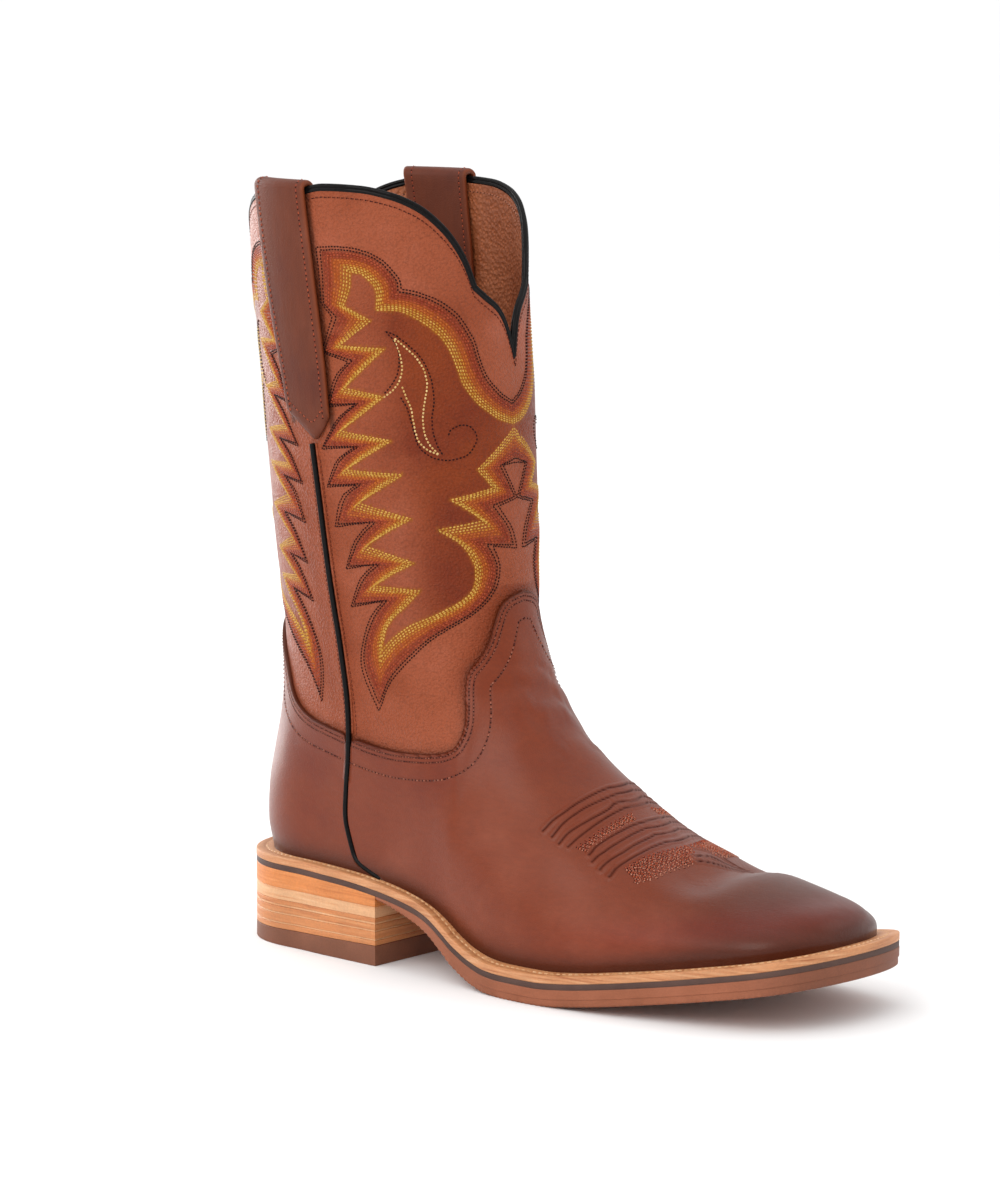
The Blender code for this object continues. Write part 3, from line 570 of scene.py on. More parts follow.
def sole_sides(x, inset=0.0, start=0.0, end=SOLE_LENGTH):
    """Lateral and medial y of the sole outline, drawn in by an inset."""
    centre = smooth_curve(*OUT_CENTRE, x)
    half = smooth_curve(*OUT_HALF, x) - inset
    local = (x - start) / (end - start) * SOLE_LENGTH
    half = half * round_off(local, SOLE_LENGTH)
    return centre - half, centre + half


def feather_inset(x):
    """How far the upper meets the welt inside its edge."""
    return FEATHER_INSET + FEATHER_SPREAD * ease(0.25, 0.85, x / SOLE_LENGTH)


def softened(curve, x):
    """Curve of a table, averaged over a short stretch."""
    shifts = np.linspace(-SOFTEN_REACH, SOFTEN_REACH, SOFTEN_STEPS)
    return sum(smooth_curve(*curve, x + shift) for shift in shifts) / SOFTEN_STEPS


def foot_half(x, side):
    centre = softened(OUT_CENTRE, x)
    half = softened(OUT_HALF, x) - feather_inset(x)
    local = (x - FEATHER_BACK) / (FEATHER_FRONT - FEATHER_BACK) * SOLE_LENGTH
    return half * round_off(local, SOLE_LENGTH) + side * centre


def back_at(z):
    return smooth_curve(*BACK_ROWS, z)


def front_at(z):
    return smooth_curve(*FRONT_BY_HEIGHT, z)


def ridge_at(x):
    return smooth_curve(*FRONT_BY_ALONG, x)


def ridge_shift(x):
    return RIDGE_SHIFT * ease(0.4, 0.7, x / SOLE_LENGTH)


def half_width(x, z, side):
    """Distance of the upper from its ridge plane at a place of the side view."""
    back = back_at(z)
    front = front_at(z)
    share = np.clip((x - back) / (front - back), 0.0, 1.0)
    leg = smooth_curve(*LEG_ROWS, z) * np.sqrt(4 * share * (1 - share))
    near_heel = 1 - ease(0.0, 0.266, x / SOLE_LENGTH)
    foot = foot_half(x - (back - FEATHER_BACK) * near_heel, side) - side * ridge_shift(x)
    base = bed_top(x)
    top = np.maximum(ridge_at(x), z + 1e-6)
    rise = np.clip((z - base) / (top - base), 0.0, 1.0)
    belly = BELLY * np.sin(np.pi * np.clip(1.6 * rise, 0.0, 1.0))
    dome = np.sqrt(np.clip(1 - rise ** 2.4, 0.0, 1.0))
    foot = (foot + belly * ease(0.0, 8 * BELLY, foot)) * dome
    up = ease(0.161, 0.387, z / COLLAR_HEIGHT)
    return foot * (1 - up) + leg * up, ridge_shift(x) * (1 - up)


def collar_dip(turn, side):
    """Dip of the collar below its sides, turn in radians from the back."""
    front = np.abs(np.pi - side * math.radians(COLLAR_TURN) - turn)
    off = np.degrees(np.minimum(turn, front))
    cusp = COLLAR[COLLAR_CUSP][0]
    dip = np.where(off < cusp, smooth_curve(*COLLAR_CURVE, off), smooth_curve(*COLLAR_SIDE, off))
    rise = smooth_curve(*COLLAR_RISE, np.degrees(front)) if side < 0 else 0.0
    return dip - rise


def dense_ring(level, side, count=541):
    """One closed half ring of the upper's outer face, from back to front."""
    back, front, sole, collar = level
    turn = np.linspace(0.0, np.pi, count)
    share = (1 - np.cos(turn)) / 2
    z_back = back * COLLAR_HEIGHT
    z_front = front * COLLAR_HEIGHT
    straight = z_back + (z_front - z_back) * share
    low_back = bed_top(FEATHER_BACK)
    low_front = bed_top(FEATHER_FRONT)
    z = straight - collar * collar_dip(turn, side)
    x = back_at(z) + (front_at(z) - back_at(z)) * share
    for _ in range(3):
        chord = low_back + (low_front - low_back) * share
        z = straight + sole * (bed_top(x) - chord) - collar * collar_dip(turn, side)
        x = back_at(z) + (front_at(z) - back_at(z)) * share
    half, shift = half_width(x, z, side)
    half[0] = 0.0
    half[-1] = 0.0
    return np.column_stack([x, shift + side * half, z])


# The surface grid: rows from the rim to the collar, columns from the back round to the front
BACK_COUNT = 72
FRONT_COUNT = 108
SIDE = BACK_COUNT + FRONT_COUNT
ALL = 2 * SIDE
LOW_LEVELS = 10
FINE_LOW = 8
FINE_HIGH = 13
POSITIONS = np.concatenate([
    np.arange(LOW_LEVELS * FINE_LOW) / FINE_LOW,
    LOW_LEVELS + np.arange((len(LEVELS) - 1 - LOW_LEVELS) * FINE_HIGH + 1) / FINE_HIGH,
])
ROWS = len(POSITIONS)


def half_ring(position, side):
    """Half ring at even columns, spread by girth on each side of the seam."""
    table = np.array(LEVELS)
    level = tuple(np.interp(position, np.arange(len(table)), table[:, i]) for i in range(4))
    points = dense_ring(level, side)
    step = np.hypot(np.diff(points[:, 0]), np.diff(points[:, 1]))
    girth = np.concatenate([[0.0], np.cumsum(step)])
    ahead = points[:, 0] - smooth_curve(*SEAM_ROWS, points[:, 2])
    seam = np.interp(0.0, ahead[45:-45], girth[45:-45])
    back = seam * np.arange(BACK_COUNT) / BACK_COUNT
    front = seam + (girth[-1] - seam) * np.arange(FRONT_COUNT + 1) / FRONT_COUNT
    places = np.concatenate([back, front])
    return np.column_stack([np.interp(places, girth, points[:, i]) for i in range(3)])


def grid_normals(grid):
    """Outward unit normals of the closed grid."""
    along = np.roll(grid, -1, axis=1) - np.roll(grid, 1, axis=1)
    up = np.gradient(grid, axis=0)
    return unit(np.cross(along, up))


def first_grid():
    """Outer face of the upper without folds, sunk under the overlays."""
    grid = []
    for position in POSITIONS:
        lateral = half_ring(position, -1)
        medial = half_ring(position, 1)
        grid.append(np.vstack([lateral, medial[-2:0:-1]]))
    grid = np.array(grid)
    normals = grid_normals(grid)
    sink = (OVERLAY_WALL + GAP) * (1 - ease(10.0, 13.5, POSITIONS))
    grid = grid - normals * sink[:, None, None]
    floor = rim_height(grid[:, :, 0]) + 0.15 * MM * np.arange(ROWS)[:, None] * (POSITIONS < 2)[:, None]
    grid[:, :, 2] = np.maximum(grid[:, :, 2], floor)
    grid[0, :, 2] = rim_height(grid[0, :, 0])
    return grid, normals


BASE, NORMAL = first_grid()


def mix_grid(field, r, c):
    """Bilinear value of a grid field at fractional rows and columns."""
    r = np.clip(np.asarray(r, float), 0.0, ROWS - 1.000001)
    c = np.mod(np.asarray(c, float), ALL)
    i = np.floor(r).astype(int)
    j = np.floor(c).astype(int) % ALL
    k = (j + 1) % ALL
    a = r - i
    b = c - np.floor(c)
    if field.ndim == 3:
        a = a[..., None]
        b = b[..., None]
    low = field[i, j] * (1 - b) + field[i, k] * b
    high = field[i + 1, j] * (1 - b) + field[i + 1, k] * b
    return low * (1 - a) + high * a


def surface(r, c, lift=0.0):
    """Point on the surface, lifted along its normal."""
    return mix_grid(BASE, r, c) + mix_grid(NORMAL, r, c) * lift


def project(points):
    """Photo pixels of points in the boot's frame."""
    ahead = np.array([
        -math.sin(CAMERA_TURN) * math.cos(CAMERA_DIP),
        math.cos(CAMERA_TURN) * math.cos(CAMERA_DIP),
        -math.sin(CAMERA_DIP),
    ])
    right = np.array([math.cos(CAMERA_TURN), math.sin(CAMERA_TURN), 0.0])
    up = np.cross(right, ahead)
    offset = points - CAMERA_PLACE
    depth = offset @ ahead
    across = IMAGE_WIDE / 2 + FOCAL_PIXELS * (offset @ right) / depth
    down = IMAGE_HIGH / 2 - FOCAL_PIXELS * (offset @ up) / depth
    return np.stack([across, down], axis=-1)


def pick(pixels, lift=0.0):
    """Row and column of the surface spots that the camera sees at some pixels."""
    shell = BASE + NORMAL * lift
    seen = project(shell)
    hidden = ((CAMERA_PLACE - shell) * NORMAL).sum(-1) <= 0
    spots = []
    for pixel in pixels:
        target = np.array(pixel[:2], float)
        miss = ((seen - target) ** 2).sum(-1) + hidden * 1e6
        r, c = [float(v) for v in np.unravel_index(np.argmin(miss), miss.shape)]
        best = (math.inf, r, c)
        for _ in range(6):
            error = project(surface(r, c, lift)) - target
            size = float(np.hypot(*error))
            if size < best[0]:
                best = (size, r, c)
            down = project(surface(min(r + 0.5, ROWS - 1.001), c, lift)) - project(surface(r, c, lift))
            side = project(surface(r, c + 0.5, lift)) - project(surface(r, c, lift))
            slope = np.column_stack([down, side]) / 0.5
            if abs(np.linalg.det(slope)) < 1e-3:
                break
            step = np.clip(np.linalg.solve(slope, -error), -2.0, 2.0)
            r = float(np.clip(r + step[0], 0, ROWS - 1.001))
            c = c + float(step[1])
        spots.append((best[1], best[2]))
    return np.array(spots)


def row_at(z, c):
    """Row of the surface at a height on given columns."""
    found = []
    for height, column in zip(np.atleast_1d(z), np.atleast_1d(c)):
        j = int(math.floor(column)) % ALL
        b = column - math.floor(column)
        heights = BASE[:, j, 2] * (1 - b) + BASE[:, (j + 1) % ALL, 2] * b
        found.append(np.interp(height, heights, np.arange(ROWS)))
    return np.array(found)


def spline(points, steps=8):
    """Smooth line through points, with the same ends."""
    points = np.asarray(points, float)
    if len(points) < 3:
        t = np.linspace(0, 1, steps + 1)[:, None]
        return points[0] * (1 - t) + points[-1] * t
    before = np.vstack([2 * points[0] - points[1], points[:-1]])
    after = np.vstack([points[1:], 2 * points[-1] - points[-2]])
    slope = (after - before) / 2
    made = [points[:1]]
    for i in range(len(points) - 1):
        t = np.linspace(0, 1, steps + 1)[1:, None]
        a, b = points[i], points[i + 1]
        ha, hb = slope[i], slope[i + 1]
        made.append(
            (2 * t ** 3 - 3 * t ** 2 + 1) * a + (t ** 3 - 2 * t ** 2 + t) * ha
            + (3 * t ** 2 - 2 * t ** 3) * b + (t ** 3 - t ** 2) * hb
        )
    return np.vstack(made)


def mirror_spots(spots):
    """The same places on the medial side."""
    return np.column_stack([spots[:, 0], ALL - spots[:, 1]])


def fold_relief():
    """Soft troughs and ridges of the folds, and a slow unevenness of the leather."""
    relief = np.zeros((ROWS, ALL))
    flat = BASE.reshape(-1, 3)
    for path, depth, width in FOLDS:
        spots = spline(pick(path), 6)
        for line, share in ((spots, 1.0), (mirror_spots(spots), MEDIAL_FOLDS)):
            points = surface(line[:, 0], line[:, 1])
            near = np.full(len(flat), 1.0)
            for point in points:
                near = np.minimum(near, ((flat - point) ** 2).sum(-1))
            d = np.sqrt(near).reshape(ROWS, ALL) / (width * MM)
            trough = np.exp(-d ** 2) - FOLD_SHOULDER * np.exp(-((d - 1.9) / 0.8) ** 2)
            relief -= share * depth * MM * trough
    x, y, z = BASE[:, :, 0], BASE[:, :, 1], BASE[:, :, 2]
    wave = np.sin(61 * x + 43 * z + 1.1) * np.sin(47 * z - 38 * y + 0.4)
    wave += 0.6 * np.sin(118 * z + 71 * y) * np.sin(96 * x - 55 * y + 2.0)
    calm = ease(0.0, 2.0, POSITIONS)[:, None] * (1 - ease(20.0, 21.0, POSITIONS))[:, None]
    return (relief + UNEVENNESS * wave) * calm


RELIEF = fold_relief()
BASE = BASE + NORMAL * RELIEF[:, :, None]
NORMAL = grid_normals(BASE)
FULL_LIFT = GAP + OVERLAY_WALL
TREE = kdtree.KDTree(ROWS * ALL)
for number, spot in enumerate(BASE.reshape(-1, 3)):
    TREE.insert(spot, number)
TREE.balance()


def settle(points, lift=0.0):
    """Rows and columns of the surface nearest to some points."""
    spots = []
    for point in points:
        _, index, _ = TREE.find(point)
        r, c = float(index // ALL), float(index % ALL)
        for _ in range(3):
            here = surface(r, c, lift)
            down = (surface(min(r + 0.5, ROWS - 1.001), c, lift) - here) / 0.5
            side = (surface(r, c + 0.5, lift) - here) / 0.5
            slope = np.column_stack([down, side])
            step, *_ = np.linalg.lstsq(slope, point - here, rcond=None)
            r = float(np.clip(r + np.clip(step[0], -2, 2), 0, ROWS - 1.001))
            c = c + float(np.clip(step[1], -2, 2))
        spots.append((r, c))
    return np.array(spots)


def edge_rows():
    """Row where each column of the grid crosses the edge of vamp or counter."""
    turn = np.degrees(np.arctan2(np.abs(BASE[:, :, 1]), BASE[:, :, 0] - LEG_AXIS))
    over = BASE[:, :, 2] - smooth_curve(*EDGE_ROWS, turn)
    found = np.zeros(ALL)
    for j in range(ALL):
        k = int(np.argmax(over[:, j] > 0))
        found[j] = k - over[k, j] / (over[k, j] - over[k - 1, j])
    return found


EDGE_AT = edge_rows()


def edge_row(c):
    return np.interp(np.mod(c, ALL), np.arange(ALL + 1), np.append(EDGE_AT, EDGE_AT[0]))


# Materials


class Look:
    """A material's node tree, with short calls for the nodes used here."""

    def __init__(self, name):
        self.material = bpy.data.materials.new(name)
        self.material.use_nodes = True
        self.tree = self.material.node_tree
        self.shader = self.tree.nodes["Principled BSDF"]
        self.place = self.add("ShaderNodeTexCoord").outputs["Object"]

    def add(self, kind, settings=None, inputs=None):
        node = self.tree.nodes.new(kind)
        for key, value in (settings or {}).items():
            setattr(node, key, value)
        for key, value in (inputs or {}).items():
            self.fill(node.inputs[key], value)
        return node

    def fill(self, socket, value):
        """Link an input to another node's output, or give it a value."""
        if isinstance(value, bpy.types.NodeSocket):
            self.tree.links.new(value, socket)
        else:
            socket.default_value = value

    def noise(self, scale, detail=3.0, rough=0.55, stretch=None):
        place = self.place
        if stretch:
            place = self.add("ShaderNodeMapping", None, {"Vector": place, "Scale": stretch}).outputs[0]
        wanted = {"Vector": place, "Scale": scale, "Detail": detail, "Roughness": rough}
        return self.add("ShaderNodeTexNoise", None, wanted).outputs["Fac"]

    def cells(self, scale, feature="F1"):
        wanted = {"Vector": self.place, "Scale": scale}
        return self.add("ShaderNodeTexVoronoi", {"feature": feature}, wanted).outputs["Distance"]

    def read(self, name):
        node = self.add("ShaderNodeAttribute", {"attribute_name": name})
        return node.outputs["Fac"]

    def math(self, operation, a, b=0.0, clamp=False):
        node = self.add("ShaderNodeMath", {"operation": operation, "use_clamp": clamp}, {0: a, 1: b})
        return node.outputs[0]

    def ramp(self, factor, stops, mode="EASE"):
        node = self.add("ShaderNodeValToRGB", None, {"Fac": factor})
        node.color_ramp.interpolation = mode
        elements = node.color_ramp.elements
        while len(elements) < len(stops):
            elements.new(0.5)
        for element, (place, value) in zip(elements, stops):
            element.position = place
            element.color = (*value, 1.0) if isinstance(value, tuple) else (value, value, value, 1.0)
        return node.outputs["Color"]

    def mix(self, factor, a, b, mode="MIX"):
        node = self.add("ShaderNodeMix", {"data_type": "RGBA", "blend_type": mode})
        for index, value in ((0, factor), (6, a), (7, b)):
            self.fill(node.inputs[index], (*value, 1.0) if isinstance(value, tuple) else value)
        return node.outputs[2]

    def dim(self, share, colour, factor, stops):
        """Colour multiplied, by a share, with grey levels that follow a factor."""
        return self.mix(share, colour, self.ramp(factor, stops), "MULTIPLY")

    def bump(self, height, distance, strength, below=None):
        wanted = {"Height": height, "Distance": distance, "Strength": strength}
        if below is not None:
            wanted["Normal"] = below
        return self.add("ShaderNodeBump", None, wanted).outputs["Normal"]

    def finish(self, colour, rough, normal=None, **more):
        """Fill the shader's inputs, which are named with an underscore for each space."""
        wanted = {"Base_Color": colour, "Roughness": rough, **more}
        if normal is not None:
            wanted["Normal"] = normal
        for key, value in wanted.items():
            self.fill(self.shader.inputs[key.replace("_", " ")], value)
        return self.material


def tone(red, green, blue):
    """Base colour that looks like an sRGB value from 0 to 255 in this light."""
    def line(v):
        v = v / 255
        linear = v / 12.92 if v <= 0.04045 else ((v + 0.055) / 1.055) ** 2.4
        return max(linear / LIGHT_LEVEL - SHEEN_VEIL, 0.002)
    return (line(red), line(green), line(blue))


def near(look, field, centre, width):
    """1 on a line of a distance field, falling to 0 over a width."""
    away = look.math("ABSOLUTE", look.math("SUBTRACT", field, centre))
    return look.math("SUBTRACT", 1.0, look.math("DIVIDE", away, width), clamp=True)


def shaft_look():
    look = Look("shaft_leather")
    mottle = look.noise(34, 4)
    fine = look.noise(240, 3)
    plain = look.ramp(mottle, [
        (0.25, tone(145, 75, 53)), (0.55, tone(158, 85, 62)), (0.8, tone(173, 98, 76)),
    ])
    # Darker orange-brown for the burnish, partly painted shade on the side turned from the light.
    burnt_and_shaded = look.ramp(mottle, [(0.25, tone(118, 54, 18)), (0.75, tone(138, 66, 28))])
    colour = look.mix(look.read("burnish_and_shade"), plain, burnt_and_shaded)
    # Lighter rosy colour: partly the leather's tint, partly painted highlight.
    rosy_tint_and_highlight = look.ramp(mottle, [(0.3, tone(148, 77, 56)), (0.75, tone(166, 96, 76))])
    colour = look.mix(look.read("rosy_tint_and_highlight"), colour, rosy_tint_and_highlight)
    under = look.ramp(look.read("band"), [
        (0.0, tone(122, 60, 40)), (0.3, tone(128, 56, 30)), (0.6, tone(160, 80, 34)),
        (0.95, tone(158, 94, 38)),
    ])
    colour = look.mix(look.read("stitched"), colour, under)
    # Painted shade from the shade field.
    colour = look.dim(1.0, colour, look.read("shade"), [(0.0, 1.0), (1.0, 0.35)])
    pebble = look.cells(950)
    small = look.cells(2100)
    grain = look.math("ADD", look.math("MULTIPLY", pebble, 0.7), look.math("MULTIPLY", small, 0.3))
    colour = look.dim(0.8, colour, grain, [(0.1, 1.06), (0.45, 0.99), (0.75, 0.80)])
    wrinkle = look.noise(120, 4, 0.6, (1.0, 1.0, 2.2))
    normal = look.bump(grain, 0.0009, 0.7)
    normal = look.bump(wrinkle, 0.0014, 0.25, normal)
    rough = look.ramp(fine, [(0.3, 0.38), (0.7, 0.50)])
    return look.finish(
        colour, rough, normal, Coat_Weight=0.05, Coat_Roughness=0.30, Specular_IOR_Level=0.26,
        Specular_Tint=WARM_SHEEN
    )


def vamp_look():
    look = Look("vamp_leather")
    cloud = look.noise(16, 4, 0.6)
    streak = look.noise(60, 4, 0.6, (1.0, 1.6, 0.6))
    colour = look.ramp(cloud, [
        (0.25, tone(114, 54, 37)), (0.5, tone(127, 63, 45)), (0.78, tone(143, 78, 59)),
    ])
    colour = look.mix(look.math("MULTIPLY", streak, 0.3), colour, tone(112, 50, 36))
    # Painted shade from the shade field; towards the toe and the welt it is partly burnish.
    colour = look.dim(1.0, colour, look.read("shade"), [(0.0, 1.0), (1.0, 0.36)])
    # Burnish: a reddish darker band above the welt towards the toe.
    colour = look.mix(look.read("burnish_and_shade"), colour, tone(124, 46, 28))
    skin = look.cells(1900)
    pull = look.noise(420, 4, 0.7, (0.6, 1.0, 1.6))
    colour = look.dim(0.75, colour, pull, [(0.3, 0.90), (0.7, 1.07)])
    edge = look.read("edge")
    widths = (0.45, 0.45, 0.7)
    first, second, third = (near(look, edge, row / MM, wide) for row, wide in zip(VAMP_ROWS, widths))
    # Painted shade in the grooves of the stitch rows along the edge, which a bump also sinks.
    groove_shade = look.math("MAXIMUM", first, second)
    groove_shade = look.math("MAXIMUM", groove_shade, look.math("MULTIPLY", third, 0.5))
    colour = look.mix(look.math("MULTIPLY", groove_shade, 0.35), colour, tone(80, 34, 24))
    # Painted shade and dark thread colour along the rows of the toe flower, where the gloss is also taken
    # off.
    cord = look.read("groove_shade")
    colour = look.mix(look.math("MULTIPLY", cord, 0.85), colour, tone(62, 22, 12))
    open_skin = look.math("SUBTRACT", 1.0, cord)
    coat = look.math("MULTIPLY", open_skin, 0.26)
    gleam = look.math("MULTIPLY", open_skin, 0.22)
    normal = look.bump(skin, 0.0002, 0.35)
    normal = look.bump(pull, 0.0006, 0.25, normal)
    normal = look.bump(look.math("SUBTRACT", 1.0, groove_shade), 0.0004, 0.8, normal)
    rough = look.ramp(cloud, [(0.25, 0.34), (0.75, 0.44)])
    return look.finish(
        colour, rough, normal, Coat_Weight=coat, Coat_Roughness=0.30, Specular_IOR_Level=gleam,
        Specular_Tint=WARM_SHEEN
    )


def lining_look(name="lining_leather"):
    look = Look(name)
    mottle = look.noise(30, 4)
    colour = look.ramp(mottle, [(0.25, tone(156, 86, 54)), (0.75, tone(188, 112, 74))])
    pebble = look.cells(620)
    colour = look.dim(0.85, colour, pebble, [(0.1, 1.10), (0.6, 0.74)])
    normal = look.bump(pebble, 0.0009, 0.6)
    normal = look.bump(look.noise(90, 4), 0.002, 0.25, normal)
    return look.finish(colour, look.ramp(mottle, [(0.3, 0.52), (0.7, 0.66)]), normal)


def piping_look():
    look = Look("piping_black")
    grain = look.noise(900, 3)
    colour = look.ramp(grain, [(0.3, (0.0022, 0.0016, 0.0016)), (0.75, (0.0060, 0.0048, 0.0048))])
    normal = look.bump(look.cells(1400), 0.00015, 0.35)
    return look.finish(colour, 0.5, normal, Coat_Weight=0.18, Coat_Roughness=0.10, Specular_IOR_Level=0.03)


def strap_look():
    look = Look("strap_leather")
    cloud = look.noise(26, 4)
    colour = look.ramp(cloud, [
        (0.25, tone(92, 50, 37)), (0.55, tone(107, 60, 46)), (0.8, tone(124, 75, 61)),
    ])
    edge = look.ramp(look.read("edge"), [(0.0, 1.0), (0.05, 0.0)])
    colour = look.mix(look.math("MULTIPLY", edge, 0.6), colour, tone(134, 72, 48))
    skin = look.cells(1700)
    scuff = look.noise(300, 5, 0.7, (1.0, 1.0, 0.25))
    colour = look.dim(0.7, colour, scuff, [(0.3, 0.88), (0.7, 1.10)])
    normal = look.bump(skin, 0.0002, 0.3)
    normal = look.bump(scuff, 0.0005, 0.2, normal)
    return look.finish(colour, look.ramp(cloud, [(0.3, 0.46), (0.7, 0.58)]), normal, Specular_IOR_Level=0.25)


def cut_edge_look(name, low, middle, high, line_scale):
    """Cut and waxed leather edge: fine fibres that run along the edge."""
    look = Look(name)
    fibre = look.noise(line_scale, 5, 0.65, (0.10, 0.10, 2.4))
    cloud = look.noise(48, 4)
    colour = look.ramp(fibre, [(0.28, low), (0.5, middle), (0.74, high)])
    colour = look.dim(0.6, colour, cloud, [(0.3, 0.82), (0.72, 1.08)])
    colour = look.dim(0.7, colour, look.noise(900, 4, 0.7), [(0.3, 0.86), (0.7, 1.06)])
    normal = look.bump(fibre, 0.0006, 0.4)
    normal = look.bump(look.noise(1300, 3), 0.0002, 0.3, normal)
    return look.finish(colour, 0.55, normal, Coat_Weight=0.06, Coat_Roughness=0.4)


def rubber_look(name, low, high, rough):
    look = Look(name)
    cloud = look.noise(40, 4)
    colour = look.ramp(cloud, [(0.3, low), (0.72, high)])
    colour = look.dim(0.7, colour, look.noise(1500, 3, 0.7), [(0.3, 0.84), (0.7, 1.06)])
    # Painted shade from the shade field, where a piece has one.
    colour = look.dim(1.0, colour, look.read("shade"), [(0.0, 1.0), (1.0, 0.3)])
    scrape = look.noise(220, 4, 0.6, (0.3, 0.3, 2.0))
    normal = look.bump(look.noise(1100, 3), 0.00025, 0.3)
    normal = look.bump(scrape, 0.0005, 0.25, normal)
    return look.finish(colour, look.ramp(cloud, [(0.3, rough), (0.7, rough + 0.12)]), normal)


def thread_look(name, colour_low, colour_high, sheen=0.12, gloss=0.3):
    look = Look("thread_" + name)
    tint = look.ramp(look.read("tone"), [(0.0, colour_low), (1.0, colour_high)], "LINEAR")
    twist = look.noise(5200, 2, 0.5, (1.0, 1.0, 0.6))
    colour = look.dim(0.6, tint, twist, [(0.35, 0.68), (0.65, 1.12)])
    normal = look.bump(twist, 0.00012, 0.6)
    return look.finish(
        colour, 0.45, normal, Sheen_Weight=sheen, Sheen_Roughness=0.4, Specular_IOR_Level=gloss
    )


def hole_look():
    look = Look("needle_holes")
    shade = look.ramp(look.noise(700, 2), [(0.3, tone(42, 17, 12)), (0.7, tone(60, 26, 18))])
    grit = look.bump(look.noise(2500, 2), 0.0002, 0.5)
    return look.finish(shade, 0.8, grit, Specular_IOR_Level=0.1)


# Mesh helpers


def put(name, data):
    """New object in the scene."""
    thing = bpy.data.objects.new(name, data)
    bpy.context.scene.collection.objects.link(thing)
    return thing


def make_piece(name, vertices, faces, material, stands_for=(), fields=None):
    """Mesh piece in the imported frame, riding on the boot's one body."""
    mesh = bpy.data.meshes.new(name)
    mesh.from_pydata((np.asarray(vertices, float) + SHIFT).tolist(), [], [tuple(f) for f in faces])
    mesh.validate()
    for field, values in (fields or {}).items():
        attribute = mesh.attributes.new(field, "FLOAT", "POINT")
        attribute.data.foreach_set("value", np.asarray(values, np.float32).ravel())
    mesh.materials.append(material)
    mesh.shade_smooth()
    piece = put(name, mesh)
    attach(piece, "root")
    if stands_for:
        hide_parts(*stands_for)
    return piece


def grid_faces(high, wide, closed=False, flip=False, start=0, wrap=False):
    """Quads of a grid of vertices, row by row, closed round the rows or from last row to first."""
    faces = []
    for i in range(high if wrap else high - 1):
        low = start + i * wide
        top = start + (i + 1) % high * wide
        for j in range(wide if closed else wide - 1):
            k = (j + 1) % wide
            quad = (low + j, low + k, top + k, top + j)
            faces.append(quad[::-1] if flip else quad)
    return faces


def tube(path, side, up, wide, high, sides=12, closed=False):
    """Vertices and faces of an oval tube along a path with its own side and up directions."""
    turn = 2 * math.pi * np.arange(sides) / sides
    rings = (
        path[:, None, :]
        + side[:, None, :] * (np.cos(turn) * wide)[None, :, None]
        + up[:, None, :] * (np.sin(turn) * high)[None, :, None]
    )
    count = len(path)
    faces = grid_faces(count, sides, closed=True, wrap=closed)
    if not closed:
        faces.append(tuple(reversed(range(sides))))
        faces.append(tuple(range((count - 1) * sides, count * sides)))
    return rings.reshape(-1, 3), faces


STITCH_FACES = [(0, 1, 2), (0, 2, 3), (4, 7, 5), (5, 7, 6)]
STITCH_SIDES = [(1, 4, 5, 2), (2, 5, 6, 3)]
STITCH_DIP = 0.10 * MM

# Sizes of the stitches in millimetres, the last one is the radius of the needle holes
STITCH_KINDS = {
    # kind: stitch, gap, wide, high, holes
    "band": (1.15, 0.35, 0.66, 0.34, 0.0),
    "band_outline": (1.15, 0.18, 0.72, 0.34, 0.0),
    "leaf_outline": (1.15, 0.35, 0.70, 0.34, 0.0),
    "leaf": (1.15, 0.35, 0.80, 0.34, 0.0),
    "vamp_edge": (0.95, 0.55, 0.50, 0.25, 0.28),
    "vamp_inner": (1.25, 0.65, 0.75, 0.35, 0.36),
    "toe_row": (1.15, 0.20, 0.55, 0.06, 0.0),
    "toe_tip": (1.10, 0.20, 0.50, 0.10, 0.0),
    "toe_band": (0.90, 0.35, 0.60, 0.45, 0.34),
    "collar": (1.30, 0.70, 0.55, 0.25, 0.30),
    "seam": (1.20, 0.60, 0.45, 0.18, 0.22),
    "strap": (1.40, 0.80, 0.60, 0.30, 0.38),
    "strap_end": (1.40, 0.80, 0.55, 0.25, 0.28),
    "welt": (2.30, 0.60, 0.80, 0.35, 0.0),
}


